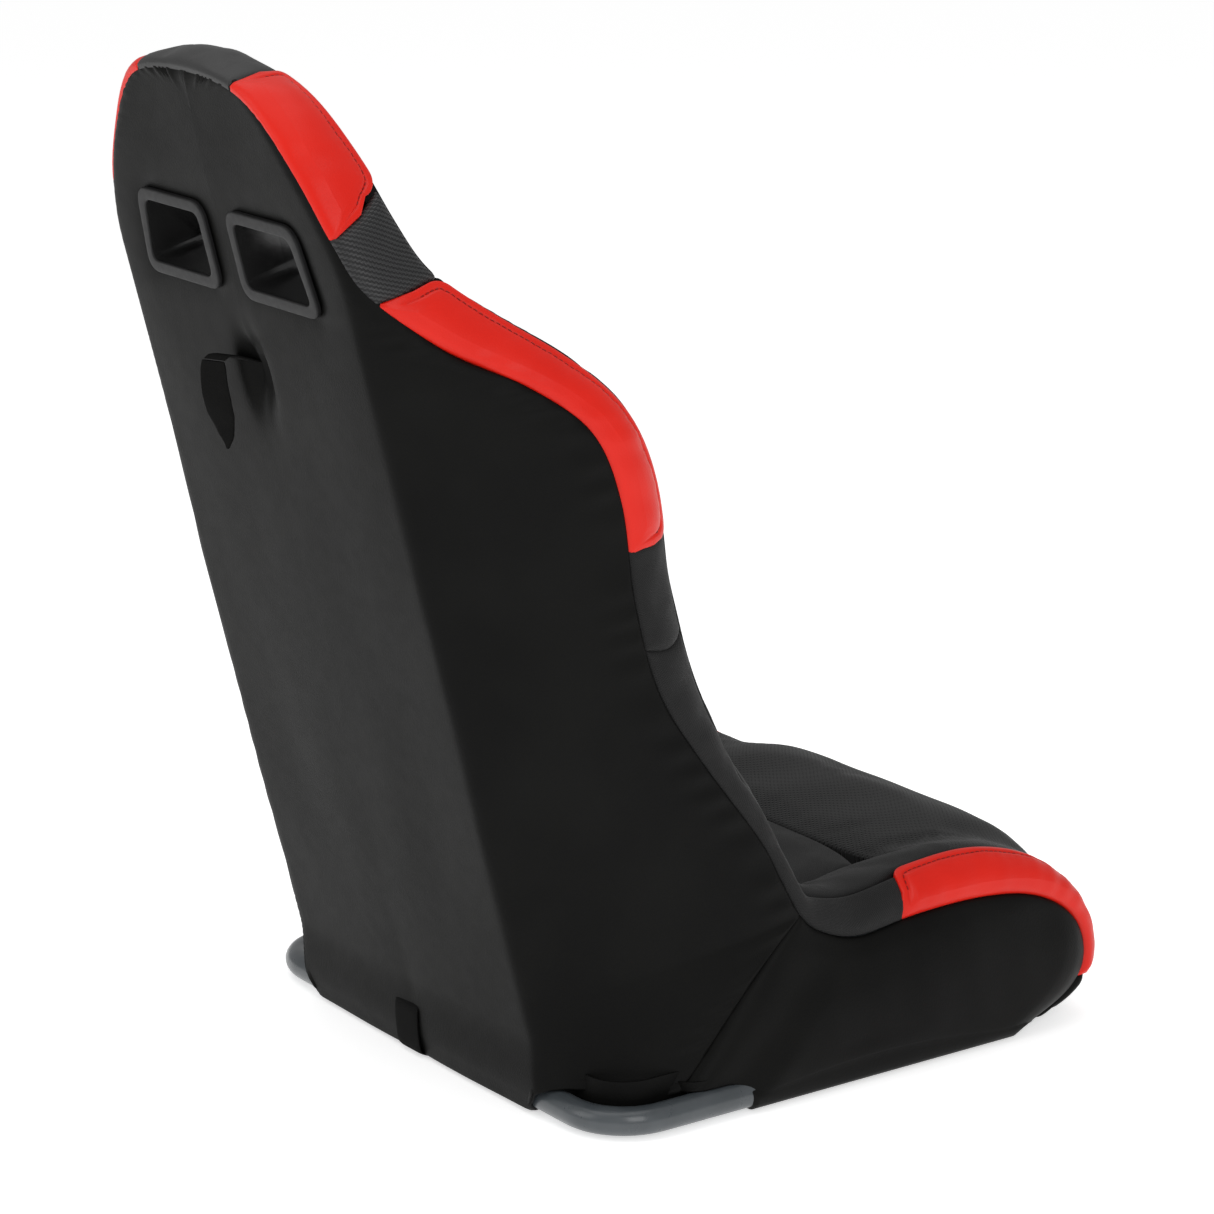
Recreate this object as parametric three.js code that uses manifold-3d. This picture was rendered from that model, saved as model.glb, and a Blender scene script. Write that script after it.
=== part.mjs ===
// A one-piece suspension bucket seat: a bent-tube steel frame, two laced slings, foam pads and bolsters,
// a stretched rear cover, and two shoulder-harness slots with plastic bezels.
// Millimetres. +Z is up, the sitter faces -Y, and the origin is the middle of the footprint, on the ground.
import * as THREE from "three";
import { mergeVertices } from "three/addons/utils/BufferGeometryUtils.js";
import Module from "manifold-3d";

const wasm = await Module();
wasm.setup();

// ---- driving dimensions ----
const RECLINE = THREE.MathUtils.degToRad(14.3); // how far the back leans to the rear
const REAR_Y = 167; // the rear panel's bottom edge, behind the origin
const PANEL_X = 197; // half width of the flat rear panel, at its rounded corner
const PANEL_CORNER = 38; // how far in from that corner its rounding starts
const GAP = 0.4; // between pieces that touch on the real seat

const RAIL_R = 12.7; // base ring, 25.4 mm tube
const POST_R = 11; // back posts and cross bars, 22 mm tube
const HOOP_R = 9.5; // torso, thigh and head tubes, 19 mm tube
const COVER_T = 2.4; // vinyl cover with its scrim foam
const SLING_T = 2; // coated mesh sling
const LACE_R = 2; // lacing cord

const RAIL_Z = RAIL_R + 3; // the ring stands 3 mm up, on the cover wrapped under it
const RAIL_REAR_X = 279; // ring's centre line at the rear corner
const RAIL_FRONT_X = 262; // and at its front end
const RAIL_REAR_Y = 163;
const RAIL_FRONT_Y = -296;
const RAIL_BEND = 52; // bend radius of the rear corners
const POST_X = 172; // back posts
const POST_D = 16; // their depth in front of the rear panel

const SLOT = { inner: 30, outerTop: 121, outerBottom: 134, low: 752, high: 810, corner: 10 };
const BEZEL_FLANGE = 11; // flange width around a harness slot
const BEZEL_T = 3.4;
const TUNNEL_WALL = 2.4;
const TUNNEL_SPLIT = 36; // depth where the rear and front bezels meet
const FRONT_FLANGE_D = 70;

const STRAP_T = 2.6;
const STRAP_W = 32;
const TAIL_LENGTH = 72;
const TAIL_X = 34; // middle of the loose tail
const SLIT = { x: 24, h: 672, width: 38, height: 12 };

// ---- materials ----
const material = (color, roughness, metalness = 0) =>
  new THREE.MeshStandardMaterial({ color, roughness, metalness });
const steel = material(0x5c646a, 0.35, 0.3);
const zinc = material(0xb4b8bb, 0.35, 0.9);
const vinyl = material(0x232322, 0.55);
const redVinyl = material(0xc8201a, 0.4);
const mesh = material(0x2c2c2c, 0.85);
const plastic = material(0x1a1a1a, 0.35);
const webbing = material(0x121212, 0.85);
const cord = material(0x151515, 0.8);

// ---- helpers ----
const seat = new THREE.Group();
const backFrame = new THREE.Group(); // local x, y = height up the rear panel, z = depth in front of it
backFrame.position.y = REAR_Y;
backFrame.rotation.x = Math.PI / 2 - RECLINE;
seat.add(backFrame);

const vec = (x, y, z) => new THREE.Vector3(x, y, z);
const onBack = (x, height, depth) =>
  vec(
    x,
    REAR_Y + height * Math.sin(RECLINE) - depth * Math.cos(RECLINE),
    height * Math.cos(RECLINE) + depth * Math.sin(RECLINE),
  );
const heightOf = (p) => (p.y - REAR_Y) * Math.sin(RECLINE) + p.z * Math.cos(RECLINE);
const depthOf = (p) => (REAR_Y - p.y) * Math.cos(RECLINE) + p.z * Math.sin(RECLINE);
const mirrored = (p) => vec(-p.x, p.y, p.z);

function add(name, geometry, look, parent = seat) {
  const piece = new THREE.Mesh(geometry, look);
  piece.name = name;
  parent.add(piece);
  return piece;
}

// The same shape on both sides; build(side) is called with side +1 for the sitter's left, -1 for the right.
function pair(name, build, look, parent = seat) {
  add(`${name}_left`, build(1), look, parent);
  add(`${name}_right`, build(-1), look, parent);
}

function mirrorGeometry(geometry) {
  const out = geometry.index ? geometry.toNonIndexed() : geometry.clone();
  const p = out.attributes.position;
  for (let i = 0; i < p.count; i += 3) {
    const corners = [0, 2, 1].map((k) => vec(-p.getX(i + k), p.getY(i + k), p.getZ(i + k)));
    corners.forEach((c, k) => p.setXYZ(i + k, c.x, c.y, c.z));
  }
  return out;
}

const onSide = (side, geometry) => (side > 0 ? geometry : mirrorGeometry(geometry));

function toManifold(geometry) {
  const bare = new THREE.BufferGeometry();
  bare.setAttribute("position", geometry.attributes.position.clone());
  if (geometry.index) bare.setIndex(geometry.index.clone());
  const merged = mergeVertices(bare, 1e-4);
  return new wasm.Manifold(
    new wasm.Mesh({
      numProp: 3,
      vertProperties: new Float32Array(merged.attributes.position.array),
      triVerts: new Uint32Array(merged.index.array),
    }),
  );
}

function fromManifold(solid) {
  const out = solid.getMesh();
  const geometry = new THREE.BufferGeometry();
  const positions = new Float32Array(out.numVert * 3);
  for (let i = 0; i < out.numVert; i++)
    positions.set(out.vertProperties.subarray(i * out.numProp, i * out.numProp + 3), i * 3);
  geometry.setAttribute("position", new THREE.BufferAttribute(positions, 3));
  geometry.setIndex(new THREE.BufferAttribute(new Uint32Array(out.triVerts), 1));
  return geometry;
}

const join = (...pieces) => fromManifold(pieces.map(toManifold).reduce((a, b) => a.add(b)));
const cut = (geometry, ...cutters) =>
  fromManifold(cutters.map(toManifold).reduce((a, b) => a.subtract(b), toManifold(geometry)));

// A closed slab between two grids of points. Row i holds the points across one station.
// zipStart leaves the first end open, where the two halves of the rows meet on the mid-plane.
function slab(outer, inner, { zipStart = false } = {}) {
  const rows = outer.length;
  const across = outer[0].length;
  const points = [...outer.flat(), ...inner.flat()];
  const at = (layer, i, j) => layer * rows * across + i * across + j;
  const faces = [];
  const quad = (a, b, c, d) => faces.push([a, b, c], [a, c, d]);
  for (let i = 0; i + 1 < rows; i++) {
    for (let j = 0; j + 1 < across; j++) {
      quad(at(0, i, j), at(0, i + 1, j), at(0, i + 1, j + 1), at(0, i, j + 1));
      quad(at(1, i, j), at(1, i, j + 1), at(1, i + 1, j + 1), at(1, i + 1, j));
    }
    quad(at(0, i, 0), at(1, i, 0), at(1, i + 1, 0), at(0, i + 1, 0));
    const e = across - 1;
    quad(at(0, i, e), at(0, i + 1, e), at(1, i + 1, e), at(1, i, e));
  }
  for (let j = 0; j + 1 < across; j++) {
    if (!zipStart) quad(at(0, 0, j), at(0, 0, j + 1), at(1, 0, j + 1), at(1, 0, j));
    const e = rows - 1;
    quad(at(0, e, j), at(1, e, j), at(1, e, j + 1), at(0, e, j + 1));
  }
  return closed(points, faces);
}

// Welds the points, drops faces that have no area, and turns the surface to face out.
function closed(points, faces) {
  const geometry = new THREE.BufferGeometry().setFromPoints(points);
  geometry.setIndex(faces.flat());
  const merged = mergeVertices(geometry, 1e-3);
  const index = merged.index.array;
  const kept = [];
  for (let i = 0; i < index.length; i += 3) {
    const [a, b, c] = [index[i], index[i + 1], index[i + 2]];
    if (a !== b && b !== c && a !== c) kept.push(a, b, c);
  }
  merged.setIndex(kept);
  const p = (i) => vec().fromBufferAttribute(merged.attributes.position, i);
  let volume = 0;
  for (let i = 0; i < kept.length; i += 3)
    volume += p(kept[i]).dot(p(kept[i + 1]).cross(p(kept[i + 2])));
  if (volume < 0)
    for (let i = 0; i < kept.length; i += 3) [kept[i + 1], kept[i + 2]] = [kept[i + 2], kept[i + 1]];
  merged.setIndex(kept);
  return merged;
}

const polygon = (radius, sides) =>
  new THREE.Shape(
    Array.from({ length: sides }, (_, i) => {
      const a = ((i + 0.5) / sides) * 2 * Math.PI;
      return new THREE.Vector2(radius * Math.cos(a), radius * Math.sin(a));
    }),
  );

// A solid bar of round section along a curve through the points; two points make it straight.
function tube(points, radius, { sides = 12, steps = 24 } = {}) {
  const straight = points.length === 2;
  const path = straight
    ? new THREE.LineCurve3(points[0], points[1])
    : new THREE.CatmullRomCurve3(points, false, "centripetal");
  return new THREE.ExtrudeGeometry(polygon(radius, sides), {
    steps: straight ? 1 : steps,
    bevelEnabled: false,
    extrudePath: path,
  });
}

// A rounded polygon through the corners.
function roundedShape(corners, radius, Kind = THREE.Shape) {
  const shape = new Kind();
  corners.forEach((corner, i) => {
    const before = corners[(i + corners.length - 1) % corners.length];
    const after = corners[(i + 1) % corners.length];
    const from = before.clone().sub(corner).setLength(radius).add(corner);
    const to = after.clone().sub(corner).setLength(radius).add(corner);
    if (i === 0) shape.moveTo(from.x, from.y);
    else shape.lineTo(from.x, from.y);
    shape.quadraticCurveTo(corner.x, corner.y, to.x, to.y);
  });
  shape.closePath();
  return shape;
}

const extrude = (shape, depth, curveSegments = 4) =>
  new THREE.ExtrudeGeometry(shape, { depth, bevelEnabled: false, curveSegments });

// A smooth curve through stations [u, point], read at any u.
function rail(stations) {
  const us = stations.map((s) => s[0]);
  const ps = stations.map((s) => s[1]);
  const slope = (i) => {
    const a = Math.max(i - 1, 0);
    const b = Math.min(i + 1, us.length - 1);
    return ps[b].clone().sub(ps[a]).divideScalar(us[b] - us[a]);
  };
  return (u) => {
    let i = us.findIndex((v, k) => k > 0 && u <= v);
    if (i < 0) i = us.length - 1;
    const w = us[i] - us[i - 1];
    const t = THREE.MathUtils.clamp((u - us[i - 1]) / w, 0, 1);
    const [t2, t3] = [t * t, t * t * t];
    return ps[i - 1].clone().multiplyScalar(2 * t3 - 3 * t2 + 1)
      .addScaledVector(slope(i - 1), (t3 - 2 * t2 + t) * w)
      .addScaledVector(ps[i], 3 * t2 - 2 * t3)
      .addScaledVector(slope(i), (t3 - t2) * w);
  };
}

// ---- the seat's shape: four rails from the head's top (u 0) down the back and out to the front (u 24) ----
// Where the rear and side covers are sewn to the front upholstery.
const seam = rail([
  [0, onBack(0, 946, 0)], [0.5, onBack(60, 943, 0)], [1, onBack(104, 929, 0)], [2, onBack(158, 866, 0)],
  [3, onBack(188, 815, 1)], [4, onBack(206, 765, 12)], [5, onBack(226, 706, 58)], [6, onBack(252, 660, 110)],
  [7, onBack(271, 608, 149)], [8, onBack(272, 540, 162)], [9, onBack(270, 450, 155)],
  [10, onBack(271, 365, 158)], [11, onBack(272, 290, 183)], [12, vec(272, -2, 244)], [13, vec(272, -25, 204)],
  [14, vec(272, -47, 166)], [15, vec(272, -69, 147)], [16, vec(272, -111, 134)], [17, vec(272, -171, 141)],
  [18, vec(272, -241, 143)], [19, vec(271, -301, 135)], [20, vec(268, -346, 112)], [21, vec(264, -373, 82)],
  [22, vec(262, -380, 52)], [23, vec(259, -366, 28)], [24, vec(256, -328, 7)],
]);
// Outer side of the bolsters' crest.
const crest = rail([
  [0, onBack(0, 944, 50)], [1, onBack(96, 917, 57)], [2, onBack(150, 861, 63)], [3, onBack(180, 811, 66)],
  [4, onBack(198, 764, 78)], [5, onBack(217, 717, 114)], [6, onBack(241, 662, 162)], [7, onBack(254, 606, 196)],
  [8, onBack(253, 538, 210)], [9, onBack(250, 449, 204)], [10, onBack(251, 358, 206)], [11, onBack(252, 282, 220)],
  [12, vec(254, -18, 256)], [13, vec(256, -40, 208)], [14, vec(256, -56, 184)], [15, vec(256, -79, 175)],
  [16, vec(256, -113, 171)], [17, vec(255, -174, 180)], [18, vec(254, -247, 184)], [19, vec(253, -315, 168)],
  [20, vec(250, -367, 134)], [21, vec(247, -392, 92)], [22, vec(244, -398, 56)], [23, vec(242, -381, 26)],
  [24, vec(240, -336, 5)],
]);
// The cushions' surface on the mid-plane.
const middle = rail([
  [0, onBack(0, 890, 63)], [2, onBack(0, 838, 60)], [4, onBack(0, 758, 62)], [6, onBack(0, 655, 70)],
  [8, onBack(0, 536, 79)], [10, onBack(0, 356, 86)], [11, onBack(0, 270, 86)], [12, onBack(0, 198, 84)],
  [13, vec(0, 116, 150)], [14, vec(0, 86, 130)], [15, vec(0, 28, 125)], [16, vec(0, -50, 127)],
  [17, vec(0, -130, 139)], [18, vec(0, -215, 154)], [19, vec(0, -296, 169)], [20, vec(0, -357, 167)],
  [21, vec(0, -392, 132)], [22, vec(0, -400, 80)], [23, vec(0, -386, 35)], [24, vec(0, -336, 5)],
]);
// The back of the foam on the mid-plane, where the slings carry it.
const liner = rail([
  [0, onBack(0, 888, 34)], [2, onBack(0, 838, 34)], [4, onBack(0, 758, 34)], [5, onBack(0, 706, 38)],
  [8, onBack(0, 536, 38)], [10, onBack(0, 356, 38)], [11, onBack(0, 268, 38)], [12, onBack(0, 190, 38)],
  [13, vec(0, 158, 116)], [14, vec(0, 112, 92)], [15, vec(0, 38, 92)], [16, vec(0, -50, 94)],
  [17, vec(0, -130, 97)], [18, vec(0, -215, 102)], [19, vec(0, -290, 106)], [20, vec(0, -334, 104)],
  [21, vec(0, -350, 90)], [22, vec(0, -354, 66)], [23, vec(0, -348, 40)], [24, vec(0, -322, 18)],
]);

const FOOT = 9; // index of the point where a bolster meets the middle cushion
const BAND_BULGE = 7; // how far the bolsters' outer side stands out
const SEAM_GAP = 2.5; // between the bolsters' edge and the covers' edge
// Across a section from the crest to the middle: share of the crest's half width, share of its rise.
const BUCKET = [[0.94, 1.05], [0.87, 0.99], [0.78, 0.72], [0.69, 0.36], [0.6, 0.12], [0.45, 0.03], [0.22, 0], [0, 0]];
const isPad = (u) => 1 - THREE.MathUtils.smoothstep(u, 3, 5.5); // the head is a pad, the rest a bucket

const inward = (u) => liner(u).sub(middle(u)).normalize();

// The front upholstery's section at u, from the seam to the middle, on the sitter's left.
function skin(u) {
  const [s, k, m] = [seam(u), crest(u), middle(u)];
  const along = k.clone().sub(s).normalize();
  const out = s.clone().add(k).multiplyScalar(0.5).sub(m);
  out.addScaledVector(along, -out.dot(along)).normalize();
  const band = [0.25, 0.5, 0.75].map((t) =>
    s.clone().lerp(k, t).addScaledVector(out, BAND_BULGE * 4 * t * (1 - t)),
  );
  const rise = vec(0, k.y - m.y, k.z - m.z);
  const pad = isPad(u);
  const top = BUCKET.map(([a, b]) => {
    const share = THREE.MathUtils.lerp(b, Math.pow(a, 1.6), pad);
    return m.clone().add(vec(a * k.x, 0, 0)).addScaledVector(rise, share);
  });
  return [s.clone().addScaledVector(along, SEAM_GAP), ...band, k, ...top];
}

const stationsBetween = (from, to, count) =>
  Array.from({ length: count + 1 }, (_, i) => from + ((to - from) * i) / count);

const shiftX = (p, dx) => vec(p.x + dx, p.y, p.z);

// ---- the frame behind the head and back; grown by a gap it also cuts its channel in the foam ----
const POST_LOW = 28.6;
const POST_HIGH = 800;
const backPost = (side, radius) => tube(
  [vec(side * POST_X, POST_LOW, POST_D), vec(side * POST_X, POST_HIGH, POST_D)], radius);
function headArch(radius) {
  const half = [[POST_X, POST_HIGH + 2], [171, 812], [168, 821], [157, 844], [135, 880], [98, 908], [50, 922]];
  const other = half.map(([x, h]) => [-x, h]).reverse();
  return tube([...half, [0, 925], ...other].map(([x, h]) => vec(x, h, POST_D)), radius, { sides: 10, steps: 30 });
}
const inSeat = (geometry) => geometry.rotateX(Math.PI / 2 - RECLINE).translate(0, REAR_Y, 0);

// ---- foam pads and bolsters ----
// Inner face of a bolster: from just inside the seam, past the tube, down to the sling.
function bolsterBack(u) {
  const n = inward(u);
  const [s, k, l] = [seam(u), crest(u), liner(u)];
  const lip = s.clone().addScaledVector(n, -7);
  lip.x -= 8;
  const shoulder = s.clone().addScaledVector(n, -7);
  shoulder.x -= 33;
  const foot = vec(0.6 * k.x, l.y, l.z);
  const corners = [lip, shoulder, foot];
  return Array.from({ length: FOOT + 1 }, (_, j) => {
    const t = (j / FOOT) * 2;
    return t <= 1 ? corners[0].clone().lerp(corners[1], t) : corners[1].clone().lerp(corners[2], t - 1);
  });
}

function bolster(from, to, count) {
  const us = stationsBetween(from, to, count);
  const outer = us.map((u) => skin(u).slice(0, FOOT + 1).map((p, j) => (j === FOOT ? shiftX(p, GAP) : p)));
  const inner = us.map((u) => bolsterBack(u).map((p, j) => (j === FOOT ? shiftX(p, GAP) : p)));
  return slab(outer, inner);
}

// A cushion across the seat, between the bolsters' feet.
function cushion(from, to, count) {
  const us = stationsBetween(from, to, count);
  const whole = (half) => [...half, ...half.slice(0, -1).reverse().map(mirrored)];
  const outer = us.map((u) => whole(skin(u).slice(FOOT).map((p, j) => (j ? p : shiftX(p, -GAP)))));
  const inner = us.map((u, i) => {
    const l = liner(u);
    return outer[i].map((p) => vec(p.x, l.y, l.z));
  });
  return slab(outer, inner);
}

const HEAD_END = 4.1;
const HIP_START = 9.55;
const HIP_END = 14.1;
const ROLL_START = 18.28; // the cross seam in the seat's cushion
const U_GAP = 0.012; // a fraction of a station left between pieces that follow each other

// The head's pad fills the space in front of the rear cover, and is moulded round the frame.
function headPad() {
  const us = stationsBetween(0, HEAD_END - U_GAP, 12);
  const whole = (half) => [...half, ...half.slice(0, -1).reverse().map(mirrored)];
  const outer = us.map((u) => {
    const [first, ...rest] = skin(u);
    return whole([onBack(first.x, heightOf(first), Math.max(depthOf(first), 6.4)), ...rest]);
  });
  const inner = outer.map((row, i) => {
    const floor = Math.max(12.5, depthOf(seam(us[i])) + 4);
    return row.map((p, j) => {
      const edge = j === 0 || j === row.length - 1;
      return onBack(p.x, heightOf(p), edge ? depthOf(p) + 0.6 : floor);
    });
  });
  const frame = [1, -1].map((side) => inSeat(backPost(side, POST_R + GAP)));
  frame.push(inSeat(headArch(HOOP_R + GAP)));
  return cut(slab(outer, inner, { zipStart: true }), ...frame, slotCutter(1), slotCutter(-1));
}

// ---- harness slots ----
const slotCorners = (grow) => [
  new THREE.Vector2(SLOT.inner - grow, SLOT.low - grow),
  new THREE.Vector2(SLOT.outerBottom + grow, SLOT.low - grow),
  new THREE.Vector2(SLOT.outerTop + grow, SLOT.high + grow),
  new THREE.Vector2(SLOT.inner - grow, SLOT.high + grow),
];
const slotShape = (grow, Kind) => roundedShape(slotCorners(grow), SLOT.corner + grow, Kind);

// The hole that a slot's two bezels need, with a wider step for the front flange.
function slotCutter(side) {
  return onSide(side, inSeat(join(
    extrude(slotShape(TUNNEL_WALL + GAP), 160).translate(0, 0, -40),
    extrude(slotShape(BEZEL_FLANGE + GAP), 160).translate(0, 0, FRONT_FLANGE_D - GAP),
  )));
}

function ring(grow, depth, from) {
  const shape = slotShape(grow);
  shape.holes.push(slotShape(0, THREE.Path));
  return extrude(shape, depth).translate(0, 0, from);
}

const rearBezel = (side) =>
  onSide(side, join(
    ring(BEZEL_FLANGE, BEZEL_T, -GAP - BEZEL_T),
    ring(TUNNEL_WALL, TUNNEL_SPLIT + GAP + 1, -GAP - 1),
  ));
const frontBezel = (side) =>
  onSide(side, join(
    ring(BEZEL_FLANGE, BEZEL_T, FRONT_FLANGE_D),
    ring(TUNNEL_WALL, FRONT_FLANGE_D + 1 - TUNNEL_SPLIT - GAP, TUNNEL_SPLIT + GAP),
  ));

// ---- covers ----
const HIP_SEAM = { top: seam(14).add(vec(0, 0.6, -0.6)), low: vec(270, 79, 30) }; // the side seam from the crotch down to the ring

// Where the rear cover's side ends at a height up the back: on the seam, or below the crotch on the hip seam.
function coverEnd(height) {
  const [top, low] = [HIP_SEAM.top, HIP_SEAM.low];
  let p;
  if (height < heightOf(top)) {
    const t = THREE.MathUtils.clamp((height - heightOf(low)) / (heightOf(top) - heightOf(low)), 0, 1);
    p = low.clone().lerp(top, t);
  } else {
    let [a, b] = [0, 14]; // the seam's height falls steadily as u grows
    for (let i = 0; i < 30; i++) {
      const u = (a + b) / 2;
      if (heightOf(seam(u)) > height) a = u;
      else b = u;
    }
    p = seam(a);
  }
  return { x: p.x, depth: Math.max(depthOf(p), 0) };
}

// How far the cover stands back from its plane at its foot, where it goes over the ring.
const flare = (height) =>
  height < 22 ? 9.4 - (height - 8) * 0.03 : 9 * (1 - THREE.MathUtils.smoothstep(height, 22, 80));

function rearCover() {
  const heights = [8, 22, 40, 60, 80, 110, 150, 200, 260, 320, 380, 450, 520, 580, 625, 665, 705, 740, 770, 800, 830, 860,
    890, 915, 932, 941];
  // The lower edge steps up over the ring where the cover turns its corner.
  const lift = (height, edge) => Math.max(height, THREE.MathUtils.mapLinear(height, heights[0], 80, edge, 80));
  const section = (row, inset) => {
    const at = (share, edge) => {
      const height = lift(row, edge);
      const end = coverEnd(height);
      const corner = Math.min(PANEL_X, end.x) - inset * 0.8;
      const [ex, ed] = [end.x - inset, Math.max(end.depth, 3)];
      if (share > 0) {
        const swell = 14 * 4 * share * (1 - share) * Math.min(1, ed / 90);
        return onBack(corner + (ex - corner) * share + swell * 0.6, height, ed * share + inset * 0.4);
      }
      const flat = corner - PANEL_CORNER;
      const [x, depth] = [[0, 0], [flat / 2, 0], [flat, 0], [corner - 12, 0.8], [corner - 1.5, 4 - inset * 0.4]][-share];
      return onBack(x, height, depth + inset - flare(height));
    };
    return [at(1, 8), at(0.75, 8), at(0.5, 16), at(0.25, 28), at(-4, 33), at(-3, 8), at(-2, 8), at(-1, 8), at(0, 8)];
  };
  const grid = (inset) =>
    heights.map((height) => {
      const half = section(height, inset);
      return [...half, ...half.slice(0, -1).reverse().map(mirrored)];
    });
  const slit = new THREE.BoxGeometry(SLIT.width, SLIT.height, 20).translate(SLIT.x, SLIT.h, 0)
    .rotateX(Math.PI / 2 - RECLINE).translate(0, REAR_Y, 0);
  return cut(slab(grid(0), grid(COVER_T)), slotCutter(1), slotCutter(-1), slit);
}

const railX = (y) =>
  THREE.MathUtils.mapLinear(y, RAIL_FRONT_Y, RAIL_REAR_Y - RAIL_BEND, RAIL_FRONT_X, RAIL_REAR_X);

// The base's side cover: from the seam down and under the rail. Ahead of the rail it ends on the seam's lower half.
const WRAP_END = 16; // behind this the rail is bare
function sideCover(side) {
  const seamAt = (y, from, to) => {
    let [a, b] = [from, to];
    for (let i = 0; i < 30; i++) {
      const u = (a + b) / 2;
      if (seam(u).y > y) a = u;
      else b = u;
    }
    return seam(a);
  };
  const section = (y, inset) => {
    const behind = y > HIP_SEAM.top.y;
    const t = (y - HIP_SEAM.top.y) / (HIP_SEAM.low.y - HIP_SEAM.top.y);
    const top = behind
      ? HIP_SEAM.top.clone().lerp(HIP_SEAM.low, t).add(vec(0, 0, -1.4))
      : seamAt(y, 14, 22);
    let low;
    if (y < -328) low = seamAt(y, 24, 22).add(vec(0, 1.5, 1.5));
    else if (y > WRAP_END + 1) low = vec(railX(y), y, 30);
    if (low)
      return Array.from({ length: 9 }, (_, j) => {
        const p = top.clone().lerp(low, j / 8);
        return vec(p.x - inset, y, p.z);
      });
    const x = railX(y);
    const reach = RAIL_R + GAP + COVER_T - inset;
    const wrap = [0, 22.5, 45, 67.5, 90].map((deg) => {
      const a = THREE.MathUtils.degToRad(deg);
      return vec(x + reach * Math.cos(a), y, RAIL_Z - reach * Math.sin(a));
    });
    const down = [0, 0.3, 0.6, 0.85].map((t2) => {
      const p = top.clone().setX(top.x - inset).lerp(wrap[0], t2);
      return vec(p.x, y, p.z);
    });
    return [...down, ...wrap];
  };
  const ys = [76, 48, WRAP_END + 2, WRAP_END, -20, -46, -75, -111, -171, -241, -290, -320, -336, -352, -368, -377];
  const sheet = slab(ys.map((y) => section(y, 0)), ys.map((y) => section(y, COVER_T)));
  return onSide(side, cut(sheet, baseRail(1, RAIL_R + GAP * 0.8)));
}

// ---- slings and their lacing ----
const SLING_EDGE = 0.86; // share of the crest's half width where a sling's hem lies
// A point on a sling, off to the side of the mid-plane by a share of the crest's half width.
function slingPoint(u, share, lower) {
  const n = inward(u);
  const [s, k, l] = [seam(u), crest(u), liner(u)];
  const foot = vec(0.6 * k.x, l.y, l.z);
  const top = s.clone().addScaledVector(n, -7);
  top.x -= 33;
  const drop = 2.4 + lower;
  if (share <= 0.6) return vec(share * k.x, l.y, l.z).addScaledVector(n, drop);
  const p = foot.lerp(top, (share - 0.6) / 0.3);
  return p.addScaledVector(n, drop * 0.7).add(vec(drop * 0.9, 0, 0));
}

function sling(from, to, count) {
  const shares = [SLING_EDGE, 0.77, 0.68, 0.6, 0.4, 0.2, 0];
  const grid = (lower) =>
    stationsBetween(from, to, count).map((u) => {
      const half = shares.map((share) => slingPoint(u, share, lower));
      return [...half, ...half.slice(0, -1).reverse().map(mirrored)];
    });
  return slab(grid(0), grid(SLING_T));
}

const tubeAt = (u) => seam(u).add(vec(-19, 0, 0)).addScaledVector(inward(u), 8);

function lacing(side, from, to, turns) {
  const points = [];
  for (let i = 0; i <= turns; i++) {
    const u = from + ((to - from) * i) / turns;
    const hem = slingPoint(u, SLING_EDGE - 0.03, SLING_T + LACE_R + 0.6);
    const outside = tubeAt(u).addScaledVector(inward(u), HOOP_R + LACE_R + 1.2).add(vec(-7, 0, 0));
    points.push(i % 2 ? outside : hem);
  }
  const path = new THREE.CurvePath();
  for (let i = 0; i < turns; i++) path.add(new THREE.LineCurve3(points[i], points[i + 1]));
  const g = new THREE.ExtrudeGeometry(polygon(LACE_R, 6), {
    steps: turns * 2, bevelEnabled: false, extrudePath: path,
  });
  return onSide(side, g);
}

// ---- frame ----
function baseRail(hand, radius = RAIL_R) {
  const [cx, cy] = [RAIL_REAR_X - RAIL_BEND, RAIL_REAR_Y - RAIL_BEND];
  const corner = [90, 67.5, 45, 22.5, 0].map((deg) => {
    const a = THREE.MathUtils.degToRad(deg);
    return vec(cx + RAIL_BEND * Math.cos(a), cy + RAIL_BEND * Math.sin(a), RAIL_Z);
  });
  const side = [90, 70, 45, 0, -100, -200, RAIL_FRONT_Y].map((y) => vec(railX(y), y, RAIL_Z));
  const line = [vec(GAP / 2, RAIL_REAR_Y, RAIL_Z), vec(110, RAIL_REAR_Y, RAIL_Z),
    vec(190, RAIL_REAR_Y, RAIL_Z), ...corner, ...side];
  return onSide(hand, tube(line, radius, { sides: 12, steps: 28 }));
}

function mountTab(side, y) {
  const shape = roundedShape(
    [[0, -24], [46, -24], [46, 24], [0, 24]].map(([a, b]) => new THREE.Vector2(a, b)), 8);
  const hole = new THREE.Path();
  hole.absarc(18, 0, 4.5, 0, 2 * Math.PI, true);
  shape.holes.push(hole);
  const outerX = railX(y) - RAIL_R * 0.72;
  return onSide(side, extrude(shape, 4, 8).translate(outerX - 46, y, 0));
}

function weldNut(side, y) {
  const shape = polygon(9, 6);
  const hole = new THREE.Path();
  hole.absarc(0, 0, 4.2, 0, 2 * Math.PI, true);
  shape.holes.push(hole);
  const holeX = railX(y) - RAIL_R * 0.72 - 28;
  return onSide(side, extrude(shape, 7, 8).translate(holeX, y, 4 + GAP));
}

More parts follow.
